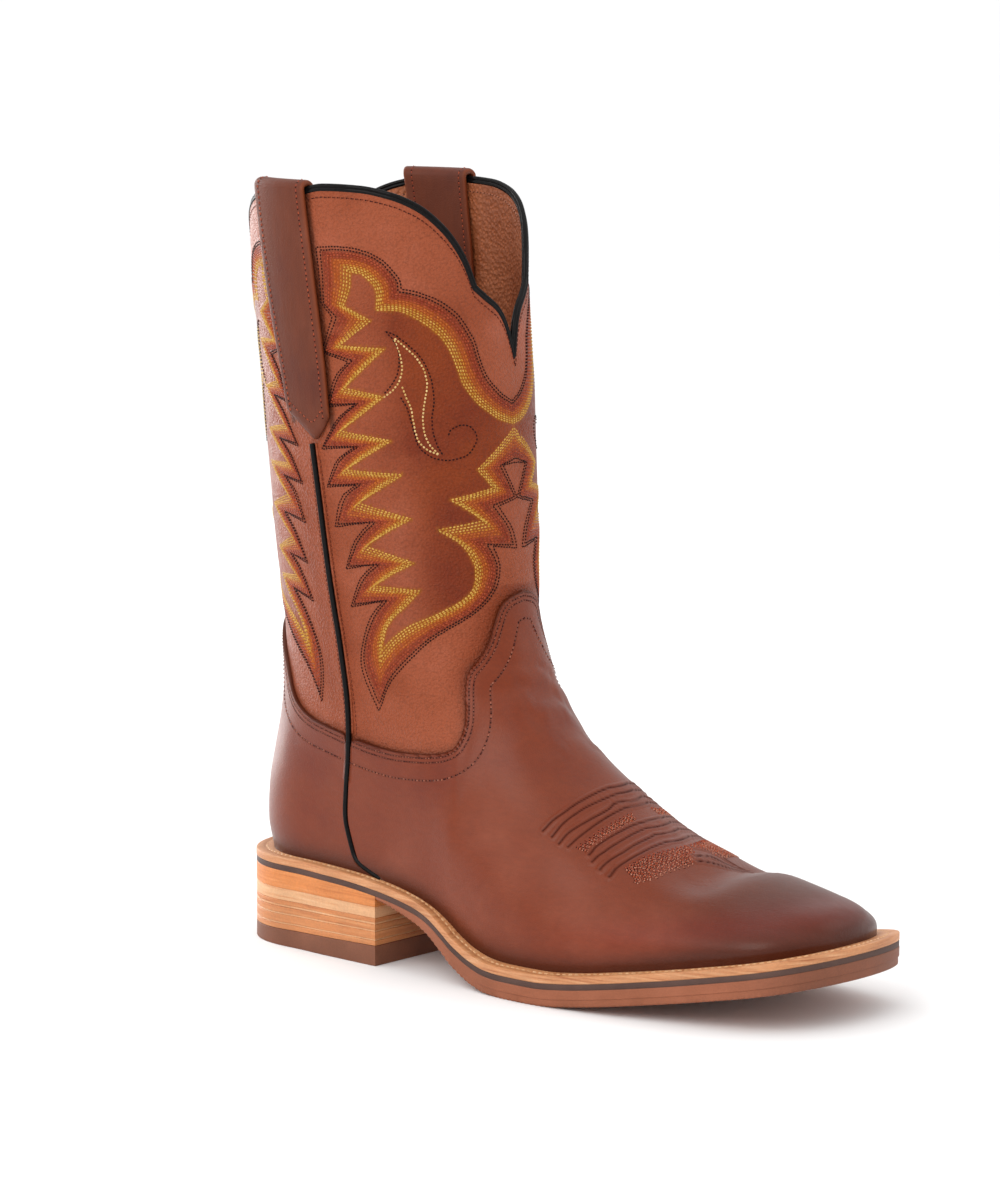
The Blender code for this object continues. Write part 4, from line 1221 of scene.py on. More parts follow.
class Threads:
    """Stitches of one thread colour, gathered and then made as one piece."""

    def __init__(self, name, seed):
        self.name = name
        self.random = np.random.default_rng(seed)
        self.vertices = []
        self.faces = []
        self.tones = []
        self.count = 0

    def add(self, vertices, faces, tones):
        self.vertices.append(vertices.reshape(-1, 3))
        self.tones.append(np.repeat(tones, vertices.shape[1]))
        for pattern in faces:
            starts = self.count + vertices.shape[1] * np.arange(len(vertices))
            self.faces += (starts[:, None] + np.array(pattern)[None, :]).tolist()
        self.count += vertices.shape[0] * vertices.shape[1]

    def run(self, points, normals, kind):
        """Stitches along a line of points on a surface, with needle holes where the kind has them."""
        stitch, gap, wide, high, holes = (size * MM for size in STITCH_KINDS[kind])
        length = run_length(points)
        count = max(int(round(length[-1] / (stitch + gap))), 1)
        pitch = length[-1] / count
        share = stitch / (stitch + gap)
        start = (np.arange(count) + (1 - share) / 2) * pitch
        places = start[:, None] + pitch * share * np.array([0.0, 0.24, 0.76, 1.0])[None, :]

        def at(field, s):
            return np.stack([np.interp(s, length, field[:, i]) for i in range(3)], axis=-1)

        spot = at(points, places)
        up = unit(at(normals, places))
        ahead = unit(spot[:, 3] - spot[:, 0])
        side = unit(np.cross(ahead[:, None, :], up))
        spot = spot + side * self.random.normal(0.0, 0.05 * MM, (count, 1, 1))
        low = spot - up * STITCH_DIP
        half = side * wide / 2
        ring = [low[:, 0]]
        for m in (1, 2):
            ring += [low[:, m] + half[:, m], spot[:, m] + up[:, m] * high, low[:, m] - half[:, m]]
        ring.append(low[:, 3])
        tones = self.random.uniform(0.0, 1.0, count)
        self.add(np.stack(ring, axis=1), STITCH_FACES + STITCH_SIDES, tones)
        if holes:
            HOLES.dots(at(points, start), at(normals, start), holes)

    def dots(self, points, normals, radius):
        """Small dark dots that stand for needle holes."""
        up = unit(normals)
        side = unit(np.cross(up, [0.31, 0.17, 0.93]))
        ahead = np.cross(up, side)
        turn = np.arange(6) * math.pi / 3
        across = side[:, None, :] * np.cos(turn)[None, :, None]
        along = ahead[:, None, :] * np.sin(turn)[None, :, None]
        ring = points[:, None, :] + up[:, None, :] * HOLE_LIFT + radius * (across + along)
        self.add(ring, [(5, 4, 3, 2, 1, 0)], np.zeros(len(points)))

    def sew(self, spots, lift, kind):
        """Stitches along rows and columns of the boot's surface."""
        r, c = spots[:, 0], spots[:, 1]
        self.run(surface(r, c, lift), mix_grid(NORMAL, r, c), kind)

    def finish(self, material, slot_name):
        if self.count:
            make_piece(
                "stitches_" + self.name, np.vstack(self.vertices), self.faces, material, (),
                {"tone": np.concatenate(self.tones)}
            )


HOLE_LIFT = 0.05 * MM
PALE = (tone(216, 152, 104), tone(230, 176, 130), tone(240, 196, 152))
LOOKS = {
    "shaft": shaft_look(),
    "vamp": vamp_look(),
    "lining": lining_look(),
    "piping": piping_look(),
    "strap": strap_look(),
    "welt": cut_edge_look("welt_tan", tone(176, 108, 68), tone(208, 144, 98), tone(230, 176, 132), 420),
    "lift": cut_edge_look("lift_tan", tone(188, 114, 68), tone(212, 138, 86), tone(226, 158, 106), 300),
    "wedge": cut_edge_look("wedge_tan", tone(196, 112, 56), tone(222, 138, 76), tone(234, 156, 96), 300),
    "pale_lift": cut_edge_look("lift_pale", *PALE, 300),
    "midsole": rubber_look("midsole_grey_brown", tone(78, 56, 49), tone(98, 74, 66), 0.62),
    "outsole": rubber_look("outsole_brown", tone(148, 86, 58), tone(168, 102, 74), 0.55),
    "cap": rubber_look("heel_cap_brown", tone(122, 76, 56), tone(142, 92, 70), 0.58),
    "insole": lining_look("insole_leather"),
    "holes": hole_look(),
}
THREADS = {
    "dark": thread_look("dark", tone(44, 24, 22), tone(70, 38, 34), 0.0, 0.1),
    "rust": thread_look("rust", tone(146, 60, 36), tone(184, 86, 52)),
    "orange": thread_look("orange", tone(172, 84, 32), tone(202, 112, 48)),
    "gold": thread_look("gold", tone(184, 116, 40), tone(210, 144, 56)),
    "yellow": thread_look("yellow", tone(192, 138, 52), tone(224, 178, 88)),
    "cream": thread_look("cream", tone(206, 164, 94), tone(238, 204, 142)),
    "brick": thread_look("brick", tone(76, 32, 24), tone(122, 60, 46), 0.0, 0.15),
    "tan": thread_look("tan", tone(160, 92, 70), tone(204, 140, 116), 0.1),
    "maroon": thread_look("maroon", tone(38, 15, 10), tone(60, 26, 19), 0.0, 0.02),
    "russet": thread_look("russet", tone(74, 34, 26), tone(168, 106, 86), 0.0, 0.15),
    "natural": thread_look("natural", tone(216, 160, 112), tone(236, 188, 142)),
}
HOLES = Threads("holes", 99)


# Embroidery plan: height and share from the side seam to the centre line


def plan_of(pixels):
    """Share and height on the panel of spots seen at some pixels."""
    spots = pick(pixels)
    column = np.where(spots[:, 1] > ALL * 0.9, spots[:, 1] - ALL, spots[:, 1])
    share = np.clip((column - BACK_COUNT) / FRONT_COUNT, -0.05, 1.0)
    return np.column_stack([share, surface(spots[:, 0], spots[:, 1])[:, 2]])


def corner_runs(points, corners, steps=8):
    """Smooth line through points that keeps its sharp corners."""
    cuts = [i for i, corner in enumerate(corners) if corner]
    made = []
    for a, b in zip(cuts[:-1], cuts[1:]):
        run = spline(points[a:b + 1], steps)
        made.append(run if not made else run[1:])
    return np.vstack(made)


BACK_START = 0.085
QUARTERS = ["front_lateral", "front_medial", "back_lateral", "back_medial"]


def quarter_columns(share, quarter):
    """Columns of the surface for panel shares in one of the four quarters."""
    if quarter.startswith("front"):
        column = BACK_COUNT + share * FRONT_COUNT
    else:
        column = BACK_COUNT - (BACK_START + share * (1 - BACK_START)) * BACK_COUNT
    return ALL - column if quarter.endswith("medial") else column


FLAME_OUTER = plan_of([(row[0], row[1]) for row in FLAME])
FLAME_INNER = plan_of([(row[2], row[3]) for row in FLAME])
FLAME_CORNERS = [row[4] for row in FLAME]
for flame_edge in (FLAME_OUTER, FLAME_INNER):
    flame_edge[0, 0] = 1.0
    flame_edge[-1, 0] = 1.0
OUTER_LINE = corner_runs(FLAME_OUTER, FLAME_CORNERS)
INNER_LINE = corner_runs(FLAME_INNER, FLAME_CORNERS)
LEAF_LINES = [
    # thread, plan line
    ("dark", spline(plan_of(LEAF_RIM))),
    ("dark", spline(plan_of(LEAF_BACK))),
    ("dark", spline(plan_of(LEAF_FORK))),
    ("cream", spline(plan_of(LEAF_STITCH_RIGHT))),
    ("cream", spline(plan_of(LEAF_STITCH_LEFT))),
    ("cream", spline(plan_of(LEAF_STITCH_FORK))),
]


def inside_plan(line, share, height):
    """1 where a place of the panel lies inside a closed plan line, else 0."""
    inside = np.zeros(share.shape, bool)
    closed = np.vstack([line, line[:1]])
    for (u, v), (nu, nv) in zip(closed[:-1], closed[1:]):
        if v != nv:
            border = u + (height - v) * (nu - u) / (nv - v)
            inside ^= ((v > height) != (nv > height)) & (share < border)
    return inside.astype(float)


def panel_fields():
    """Per vertex of the grid: how far it lies in the stitched band, a darker burnish that is partly painted
    shade on the side turned from the light, and a rosy tint that is partly a painted highlight.
    """
    share = np.zeros(ALL)
    for j in range(ALL):
        c = j if j <= SIDE else ALL - j
        if c >= BACK_COUNT:
            share[j] = (c - BACK_COUNT) / FRONT_COUNT
        else:
            share[j] = ((BACK_COUNT - c) / BACK_COUNT - BACK_START) / (1 - BACK_START)
    share = np.broadcast_to(share, (ROWS, ALL))
    height = BASE[:, :, 2]
    samples = []
    values = []
    for t in np.linspace(0.22, 1, 13):
        line = OUTER_LINE * (1 - t) + INNER_LINE * t
        samples.append(line)
        values.append(np.full(len(line), t))
    samples = np.vstack(samples) * np.array([PANEL_GIRTH, 1.0])
    values = np.concatenate(values)
    tree = kdtree.KDTree(len(samples))
    for i, (u, v) in enumerate(samples):
        tree.insert((u, v, 0.0), i)
    tree.balance()
    band = np.zeros((ROWS, ALL))
    stitched = np.zeros((ROWS, ALL))
    low = height > 0.085
    for i, j in zip(*np.nonzero(low)):
        _, index, away = tree.find((share[i, j] * PANEL_GIRTH, height[i, j], 0.0))
        band[i, j] = values[index]
        stitched[i, j] = 1.0 - min(max((away - 0.3 * MM) / (0.7 * MM), 0.0), 1.0)

    def blob(u, z, wide, high):
        return np.exp(-((share - u) / wide) ** 2 - ((height - z) / high) ** 2)

    field = inside_plan(INNER_LINE, share, height)
    # Darker orange-brown towards the front centre and near the vamp edge: partly burnish, partly painted
    # shade where the panel turns away from the light.
    burnish_and_shade = field * (0.25 + 0.75 * ease(0.30, 0.62, share)) + 0.5 * blob(0.64, 0.262, 0.3, 0.010)
    burnish_and_shade += 0.40 * blob(0.04, 0.150, 0.06, 0.080)
    columns = np.arange(ALL)
    edge_points = surface(edge_row(columns), columns)
    from_edge = line_distance(BASE.reshape(-1, 3), edge_points, 0.05).reshape(ROWS, ALL)
    burnish_and_shade += 0.85 * np.exp(-(from_edge / (8 * MM)) ** 2) * ease(0.45, 0.75, share) * (height < 0.155)
    leaf = np.vstack([line for thread, line in LEAF_LINES if thread == "cream"])
    burnish_and_shade += 0.3 * field * np.exp(-((share - leaf[:, 0].mean()) / 0.08) ** 2) * (height > leaf[:, 1].min())
    # Lighter rosy patches: partly the leather's tint, partly painted highlight on the lower side of the
    # panel and along the front of the instep.
    rosy_tint_and_highlight = 0.55 * blob(0.40, 0.160, 0.12, 0.030)
    rosy_tint_and_highlight += 0.4 * blob(1.0, 0.205, 0.05, 0.03)
    return band, stitched, np.clip(burnish_and_shade, 0, 1), np.clip(rosy_tint_and_highlight, 0, 1)


def line_distance(points, line, limit=0.02):
    """Distance of points from a line of points, at most a limit."""
    tree = kdtree.KDTree(len(line))
    for i, point in enumerate(line):
        tree.insert(point, i)
    tree.balance()
    return np.array([min(tree.find(p)[2], limit) for p in points])


# Pieces of the upper


def build_shaft():
    """Outer face of the shaft from under the overlays to the collar, rolled in at its top. Its shade field
    is painted shade: dark under the vamp and counter and just above their edges, in the seam valley beside
    the side piping, and beside the strap edges.
    """
    band, stitched, burnish_and_shade, rosy_tint_and_highlight = panel_fields()
    top = BASE[-1] - NORMAL[-1] * 0.55 * UPPER_WALL
    grid = np.concatenate([BASE, top[None]], axis=0)
    columns = np.arange(ALL)
    edge_points = surface(edge_row(columns), columns)
    flat = BASE.reshape(-1, 3)
    close = line_distance(flat, edge_points).reshape(ROWS, ALL)
    above = np.arange(ROWS)[:, None] > edge_row(columns)[None, :]
    # Painted shade: dark where the shaft runs under vamp and counter, fading out just above their edges as
    # their shadow.
    shade = np.where(above, np.exp(-close / (3.0 * MM)), 1.0) * 0.6
    # Painted shade in the seam valley on both sides of the side piping.
    piping = line_distance(flat, surface(np.arange(ROWS), np.full(ROWS, BACK_COUNT))).reshape(ROWS, ALL)
    shade = np.maximum(shade, 0.55 * np.exp(-(piping / (1.8 * MM)) ** 2) * (BASE[:, :, 2] < SEAM_TOP))

    z = BASE[:, :, 2]
    # Painted shadow beside the back and front edges of the pull strap.
    for strap_edge in (STRAP_BACK, STRAP_FRONT):
        beside = (BASE[:, :, 0] - smooth_curve(*strap_edge, z)) / (1.7 * MM)
        shade = np.maximum(shade, 0.95 * np.exp(-beside ** 2) * (z > STRAP[0][0] * COLLAR_HEIGHT))

    def more(field):
        return np.vstack([field, field[-1:]]).ravel()

    fields = {
        "band": more(band), "stitched": more(stitched), "burnish_and_shade": more(burnish_and_shade), "rosy_tint_and_highlight": more(rosy_tint_and_highlight),
        "shade": more(shade),
    }
    faces = grid_faces(ROWS + 1, ALL, closed=True)
    return make_piece(
        "shaft", grid.reshape(-1, 3), faces, LOOKS["shaft"], ("upper",), fields
    )


def build_lining():
    """Inner face of the upper, from the bed to the collar."""
    keep = np.unique(np.append(np.arange(0, ROWS, 2), ROWS - 1))
    inner = BASE - NORMAL * UPPER_WALL
    inner[0, :, 2] = rim_height(inner[0, :, 0])
    top = BASE[-1] - NORMAL[-1] * 0.45 * UPPER_WALL
    grid = np.concatenate([inner[keep], top[None]], axis=0)
    faces = grid_faces(len(grid), ALL, closed=True, flip=True)
    return make_piece("lining", grid.reshape(-1, 3), faces, LOOKS["lining"])


def seam_column(r):
    """Column of the side piping on a row: it runs forward where it meets the welt."""
    return BACK_COUNT + SEAM_KICK * np.clip(1 - np.asarray(r, float) / SEAM_KICK_ROWS, 0.0, 1.0) ** 2.5


def overlay_field(front):
    """Positive where the vamp or the counter covers the surface."""
    columns = np.arange(ALL)
    to_back = np.minimum(columns, ALL - columns)
    r = np.arange(ROWS)[:, None]
    spacing = np.linalg.norm(BASE[:, BACK_COUNT + 1] - BASE[:, BACK_COUNT - 1], axis=1)[:, None] / 2
    ahead = (to_back[None, :] - seam_column(r)) * spacing
    clear = PIPING_WIDTH / 2 + PIPING_LIP
    beside = ahead - clear if front else -ahead - clear
    turn = np.degrees(np.arctan2(np.abs(BASE[:, :, 1]), BASE[:, :, 0] - LEG_AXIS))
    below = smooth_curve(*EDGE_ROWS, turn) - BASE[:, :, 2]
    return np.minimum(beside, below)


def cut_sheet(points, normals, field):
    """Polygons of the grid where a field is positive, and their cut border as one chain."""
    flat = points.reshape(-1, 3)
    ups = normals.reshape(-1, 3)
    value = field.ravel()
    faces, extra, extra_ups, crossings, follow = [], [], [], {}, {}

    def crossing(a, b):
        key = (min(a, b), max(a, b))
        if key not in crossings:
            t = value[key[0]] / (value[key[0]] - value[key[1]])
            crossings[key] = len(flat) + len(extra)
            extra.append(flat[key[0]] * (1 - t) + flat[key[1]] * t)
            extra_ups.append(ups[key[0]] * (1 - t) + ups[key[1]] * t)
        return crossings[key]

    for i in range(ROWS - 1):
        for j in range(ALL):
            k = (j + 1) % ALL
            corners = [i * ALL + j, i * ALL + k, (i + 1) * ALL + k, (i + 1) * ALL + j]
            kept = [value[corner] > 0 for corner in corners]
            if all(kept):
                faces.append(corners)
            elif any(kept):
                polygon, leaving, entering = [], None, None
                for n in range(4):
                    a, b = corners[n], corners[(n + 1) % 4]
                    if value[a] > 0:
                        polygon.append(a)
                    if (value[a] > 0) != (value[b] > 0):
                        polygon.append(crossing(a, b))
                        if value[a] > 0:
                            leaving = polygon[-1]
                        else:
                            entering = polygon[-1]
                faces.append(polygon)
                follow[leaving] = entering
    start = (set(follow) - set(follow.values())).pop()
    chain = [start]
    while chain[-1] in follow:
        chain.append(follow[chain[-1]])
    flat = np.vstack([flat, extra])
    ups = np.vstack([ups, extra_ups])
    used = np.unique(np.concatenate([np.array(face) for face in faces]))
    place = np.full(len(flat), -1)
    place[used] = np.arange(len(used))
    faces = [place[face].tolist() for face in faces]
    return flat[used], ups[used], faces, place[chain]


def vamp_shade(x, up):
    """Painted shade: darker towards the toe, partly burnish and partly shade, and darker where the face
    looks up, which tones down the light from above.
    """
    return 0.62 * ease(0.205, 0.280, x) + 0.24 * ease(0.25, 0.85, up)


def build_overlay(name, front):
    """Vamp or counter: a layer of its own thickness with a turned edge, with painted shade towards the welt
    and the toe, along the top edge and on the turned edge.
    """
    lifted = BASE + NORMAL * FULL_LIFT
    lifted[0, :, 2] = bed_top(lifted[0, :, 0]) - 0.1 * MM
    points, normals, faces, chain = cut_sheet(lifted, NORMAL, overlay_field(front))
    loop = points[chain]
    ups = normals[chain]
    smooth = loop.copy()
    for _ in range(4):
        smooth[1:-1] = (smooth[:-2] + smooth[1:-1] + smooth[2:]) / 3
    points[chain[1:-1]] = smooth[1:-1]
    loop = smooth
    out = np.cross(unit(np.gradient(loop, axis=0)), ups)
    away = np.sum(out * (loop - points.mean(axis=0)), axis=1).mean()
    if away < 0:
        out = -out
    walls = []
    for step, drop in EDGE_ROLL:
        walls.append(loop + out * step * MM - ups * drop * MM)
    start = len(points)
    count = len(loop)
    rings = [chain] + [start + k * count + np.arange(count) for k in range(len(walls))]
    for first, second in zip(rings[:-1], rings[1:]):
        for k in range(count - 1):
            quad = (first[k], first[k + 1], second[k + 1], second[k])
            faces.append(quad if away > 0 else quad[::-1])
    spots = top_edge(front)
    edge = line_distance(points, surface(spots[:, 0], spots[:, 1], FULL_LIFT), 0.03) / MM
    x, z = points[:, 0], points[:, 2]
    above = np.maximum(z - bed_top(x), 0.0)
    # Painted shade: darker down towards the welt, partly burnish and partly shade where the vamp meets the
    # welt.
    shade = 0.90 * np.exp(-(above / (7 * MM)) ** 1.5) + vamp_shade(x, normals[:, 2])
    # Painted shade: a thin dark line along the top edge.
    shade += 0.35 * np.exp(-(edge / 0.8) ** 2)
    # Burnish: a reddish darker band above the welt towards the toe.
    red = 0.35 * np.exp(-((above - 14 * MM) / (7 * MM)) ** 2) * ease(0.16, 0.24, x)
    rolled = len(walls) * count
    # The turned edge wall gets a fixed painted shade.
    fields = {
        "edge": np.concatenate([edge, np.zeros(rolled)]),
        "shade": np.concatenate([np.clip(shade, 0, 1), np.full(rolled, 0.8)]),
        "burnish_and_shade": np.concatenate([red, np.zeros(rolled)]),
    }
    return make_piece(
        name + "_cover", np.vstack([points] + walls), faces, LOOKS["vamp"], (name,), fields
    )


def top_edge(front):
    """Spots along the free upper edge of the vamp or the counter."""
    margin = 1.6
    if front:
        c = np.arange(BACK_COUNT + margin, ALL - BACK_COUNT - margin, 0.25)
    else:
        c = np.arange(margin - BACK_COUNT, BACK_COUNT - margin, 0.25)
    return resample(np.column_stack([edge_row(c), c]), 0.8 * MM, FULL_LIFT)


def inside_line(spots, distance, inward, lift=FULL_LIFT):
    """Line of surface spots that keeps a distance inside an edge line."""
    points = surface(spots[:, 0], spots[:, 1], lift)
    ups = mix_grid(NORMAL, spots[:, 0], spots[:, 1])
    side = np.cross(ups, unit(np.gradient(points, axis=0))) * inward
    moved = points + side * distance
    away = line_distance(moved, points, 1.0)
    return settle(smoothed(moved[away > 0.93 * distance], 3), lift)


def resample(spots, spacing=1.0 * MM, lift=0.0):
    """Even spots along a line of rows and columns."""
    points = surface(spots[:, 0], spots[:, 1], lift)
    length = run_length(points)
    count = max(int(length[-1] / spacing), 2)
    places = np.linspace(0, length[-1], count)
    return np.column_stack([np.interp(places, length, spots[:, i]) for i in range(2)])


def sew_edges():
    """Stitch rows that follow the edges of vamp and counter."""
    for front in (True, False):
        spots = top_edge(front)
        for distance, kind in zip(VAMP_ROWS, ("vamp_edge", "vamp_edge", "vamp_inner")):
            STITCHES["russet"].sew(inside_line(spots, distance, -1.0), FULL_LIFT, kind)


def on_panel(plan, quarter):
    """Even surface spots along a plan line in one of the quarters."""
    c = quarter_columns(plan[:, 0], quarter)
    return resample(np.column_stack([row_at(plan[:, 1], c), c]), 0.6 * MM)


def sew_panels():
    """Flame bands and leaves on the four quarters of the shaft."""
    for quarter in QUARTERS:
        for share, thread in BAND_ROWS:
            plan = OUTER_LINE * (1 - share) + INNER_LINE * share
            kind = "band_outline" if thread == "dark" else "band"
            STITCHES[thread].sew(on_panel(plan, quarter), THREAD_LIFT, kind)
        for thread, plan in LEAF_LINES:
            kind = "leaf_outline" if thread == "dark" else "leaf"
            STITCHES[thread].sew(on_panel(plan, quarter), THREAD_LIFT, kind)


def both_sides(pixels):
    """A line over the vamp, drawn on the lateral half and mirrored to the other."""
    spots = spline(pick(pixels, FULL_LIFT), 6)
    spots = spots[spots[:, 1] < SIDE]
    ridge = np.array([[spots[-1, 0], float(SIDE)]])
    return np.vstack([spots, ridge, mirror_spots(spots)[::-1]])


def build_toe_relief(lines):
    """Fine sheet over the vamp, puffed up between the rows of the toe flower, with painted shade along the
    rows.
    """
    spots = np.vstack(lines)
    r = np.arange(spots[:, 0].min() - 3, spots[:, 0].max() + 3, 0.27)
    c = np.arange(spots[:, 1].min() - 3, spots[:, 1].max() + 3, 0.27)
    r, c = np.meshgrid(r, c, indexing="ij")
    points = surface(r, c, FULL_LIFT)
    ups = mix_grid(NORMAL, r, c)
    threads = np.vstack([surface(line[:, 0], line[:, 1], FULL_LIFT) for line in lines])
    away = line_distance(points.reshape(-1, 3), threads, 0.01).reshape(r.shape) / MM
    puff = 0.46 * (1 - np.exp(-(away / 0.50) ** 2)) * (1 - ease(1.15, 2.3, away))
    points = points + ups * ((puff - 0.05) * MM)[:, :, None]
    # Painted shade: vamp_shade, and darker along the rows between the puffs.
    shade = vamp_shade(points[:, :, 0], ups[:, :, 2]) + 0.3 * np.exp(-(away / 0.46) ** 2)
    high, wide = r.shape
    # groove_shade: painted shade and dark thread colour along the rows.
    fields = {
        "edge": np.full(r.size, 20.0),
        "shade": np.clip(shade, 0, 1).ravel(),
        "groove_shade": np.exp(-(away / 0.42) ** 2).ravel(),
    }
    make_piece(
        "toe_flower", points.reshape(-1, 3), grid_faces(high, wide), LOOKS["vamp"], (), fields
    )


def sew_toe():
    """Corded rows and filled bands of the toe flower."""
    cords = [(both_sides(row), "toe_row") for row in TOE_ROWS]
    cords += [(spline(pick(row, FULL_LIFT), 6), "toe_tip") for row in TOE_TIPS]
    lines = []
    for spots, kind in cords:
        line = resample(spots, 0.7 * MM, FULL_LIFT)
        STITCHES["maroon"].sew(line, FULL_LIFT, kind)
        lines.append(resample(line, 0.3 * MM, FULL_LIFT))
    build_toe_relief(lines)
    for upper_edge, lower_edge, count in TOE_BANDS:
        first = spline(pick(upper_edge, FULL_LIFT), 6)
        second = spline(pick(lower_edge, FULL_LIFT), 6)
        for k in range(count):
            t = (k + 0.5) / count
            line = resample(first * (1 - t) + second * t, 1.1 * MM, FULL_LIFT)
            wiggle = 0.9 * (-1) ** np.arange(len(line))
            line = line + np.column_stack([0.55 * wiggle, 0.35 * wiggle])
            for side in (line, mirror_spots(line)):
                STITCHES["tan" if k % 2 else "rust"].sew(side, FULL_LIFT, "toe_band")


def sew_collar():
    """One row below the collar outside and inside."""
    columns = np.arange(0, ALL + 0.25, 0.5)
    for below, lift, thread in ((3.2 * MM, THREAD_LIFT, "brick"), (4.2 * MM, -UPPER_WALL, "tan")):
        spots = []
        for c in columns:
            j = int(c) % ALL
            k = (j + 1) % ALL
            t = c - int(c)
            rim = BASE[-1, j, 2] * (1 - t) + BASE[-1, k, 2] * t
            spots.append((row_at(rim - below, c)[0], c))
        spots = np.array(spots)
        spots[:, 0] = smoothed(spots[:, 0], 3)
        points = surface(spots[:, 0], spots[:, 1], lift)
        normals = mix_grid(NORMAL, spots[:, 0], spots[:, 1]) * (1 if lift > 0 else -1)
        STITCHES[thread].run(points, normals, "collar")


def sew_seams():
    """One row on each side of the side piping, on the shaft."""
    for column in (BACK_COUNT, ALL - BACK_COUNT):
        for offset in (-3.0, 3.0):
            r = np.linspace(edge_row(column) + 1.0, row_at(SEAM_TOP - 6 * MM, column)[0], 120)
            spots = np.column_stack([r, np.full(120, column + offset)])
            STITCHES["brick"].sew(spots, 0.03 * MM, "seam")


# Piping and straps


def build_collar_piping():
    """Black binding of the collar: a band over the wall with a round cord on top."""
    count = 2 * ALL
    c = np.linspace(0, ALL, count, endpoint=False)
    top = np.full(count, ROWS - 1.001)
    out = mix_grid(NORMAL, top, c)
    rim = surface(top, c) - out * UPPER_WALL / 2
    ahead = unit(np.roll(rim, -1, axis=0) - np.roll(rim, 1, axis=0))
    up = unit(np.cross(ahead, out))
    up *= np.sign(up[:, 2:3])
    for name, height, wide, high, stands_for in (
        ("collar_cord", 1.25 * MM, 1.05 * MM, 0.95 * MM, ("collar_piping",)),
        ("collar_band", -0.05 * MM, UPPER_WALL / 2 + 0.35 * MM, 1.15 * MM, ()),
    ):
        vertices, faces = tube(rim + up * height, out, up, wide, high, 14, closed=True)
        make_piece(name, vertices, faces, LOOKS["piping"], stands_for)


def build_side_piping(name, mirrored):
    """Black cord along a side seam, from the welt to under the strap."""
    top = row_at(SEAM_TOP, BACK_COUNT)[0]
    r = np.linspace(0.0, top, 260)
    c = seam_column(r)
    if mirrored:
        c = ALL - c
    points = smoothed(surface(r, c), 30)
    up = mix_grid(NORMAL, r, c)
    side = np.cross(unit(np.gradient(points, axis=0)), up)
    path = points + up * (GAP + 0.45 * PIPING_PROUD)
    path[0, 2] -= 0.3 * MM
    vertices, faces = tube(path, side, up, PIPING_WIDTH / 2, 0.58 * PIPING_PROUD, 14)
    make_piece(name + "_cord", vertices, faces, LOOKS["piping"], (name,))
    bare = r > edge_row(BACK_COUNT) + 0.5
    for way in (-1, 1):
        lip = (points + up * 0.15 * MM + side * way * (PIPING_WIDTH / 2 + 0.3 * MM))[bare]
        vertices, faces = tube(lip, side[bare], up[bare], 0.5 * MM, 0.5 * MM, 8)
        label = name + ("_lip_back" if way < 0 else "_lip_front")
        make_piece(label, vertices, faces, LOOKS["shaft"])


def strap_surface(side, across, offset, z):
    """Point beside the upper's outer face on a strap's line."""
    back = float(smooth_curve(*STRAP_BACK, z))
    front = float(smooth_curve(*STRAP_FRONT, z))
    level = min(z, COLLAR_HEIGHT + 2 * STRAP_THICK)
    x = np.array([back + (front - back) * across])
    step = 0.0008

    def point(px, pz):
        half, shift = half_width(px, np.array([pz]), side)
        return np.array([px[0], shift[0] + side * half[0], pz])

    here = point(x, level)
    along = point(x + step, level) - point(x - step, level)
    up = point(x, level + step) - point(x, level - step)
    normal = unit(np.cross(along, up) * -side)
    flat = normal * np.array([1, 1, 0])
    return np.array([here[0], here[1], z]) + flat * offset, normal


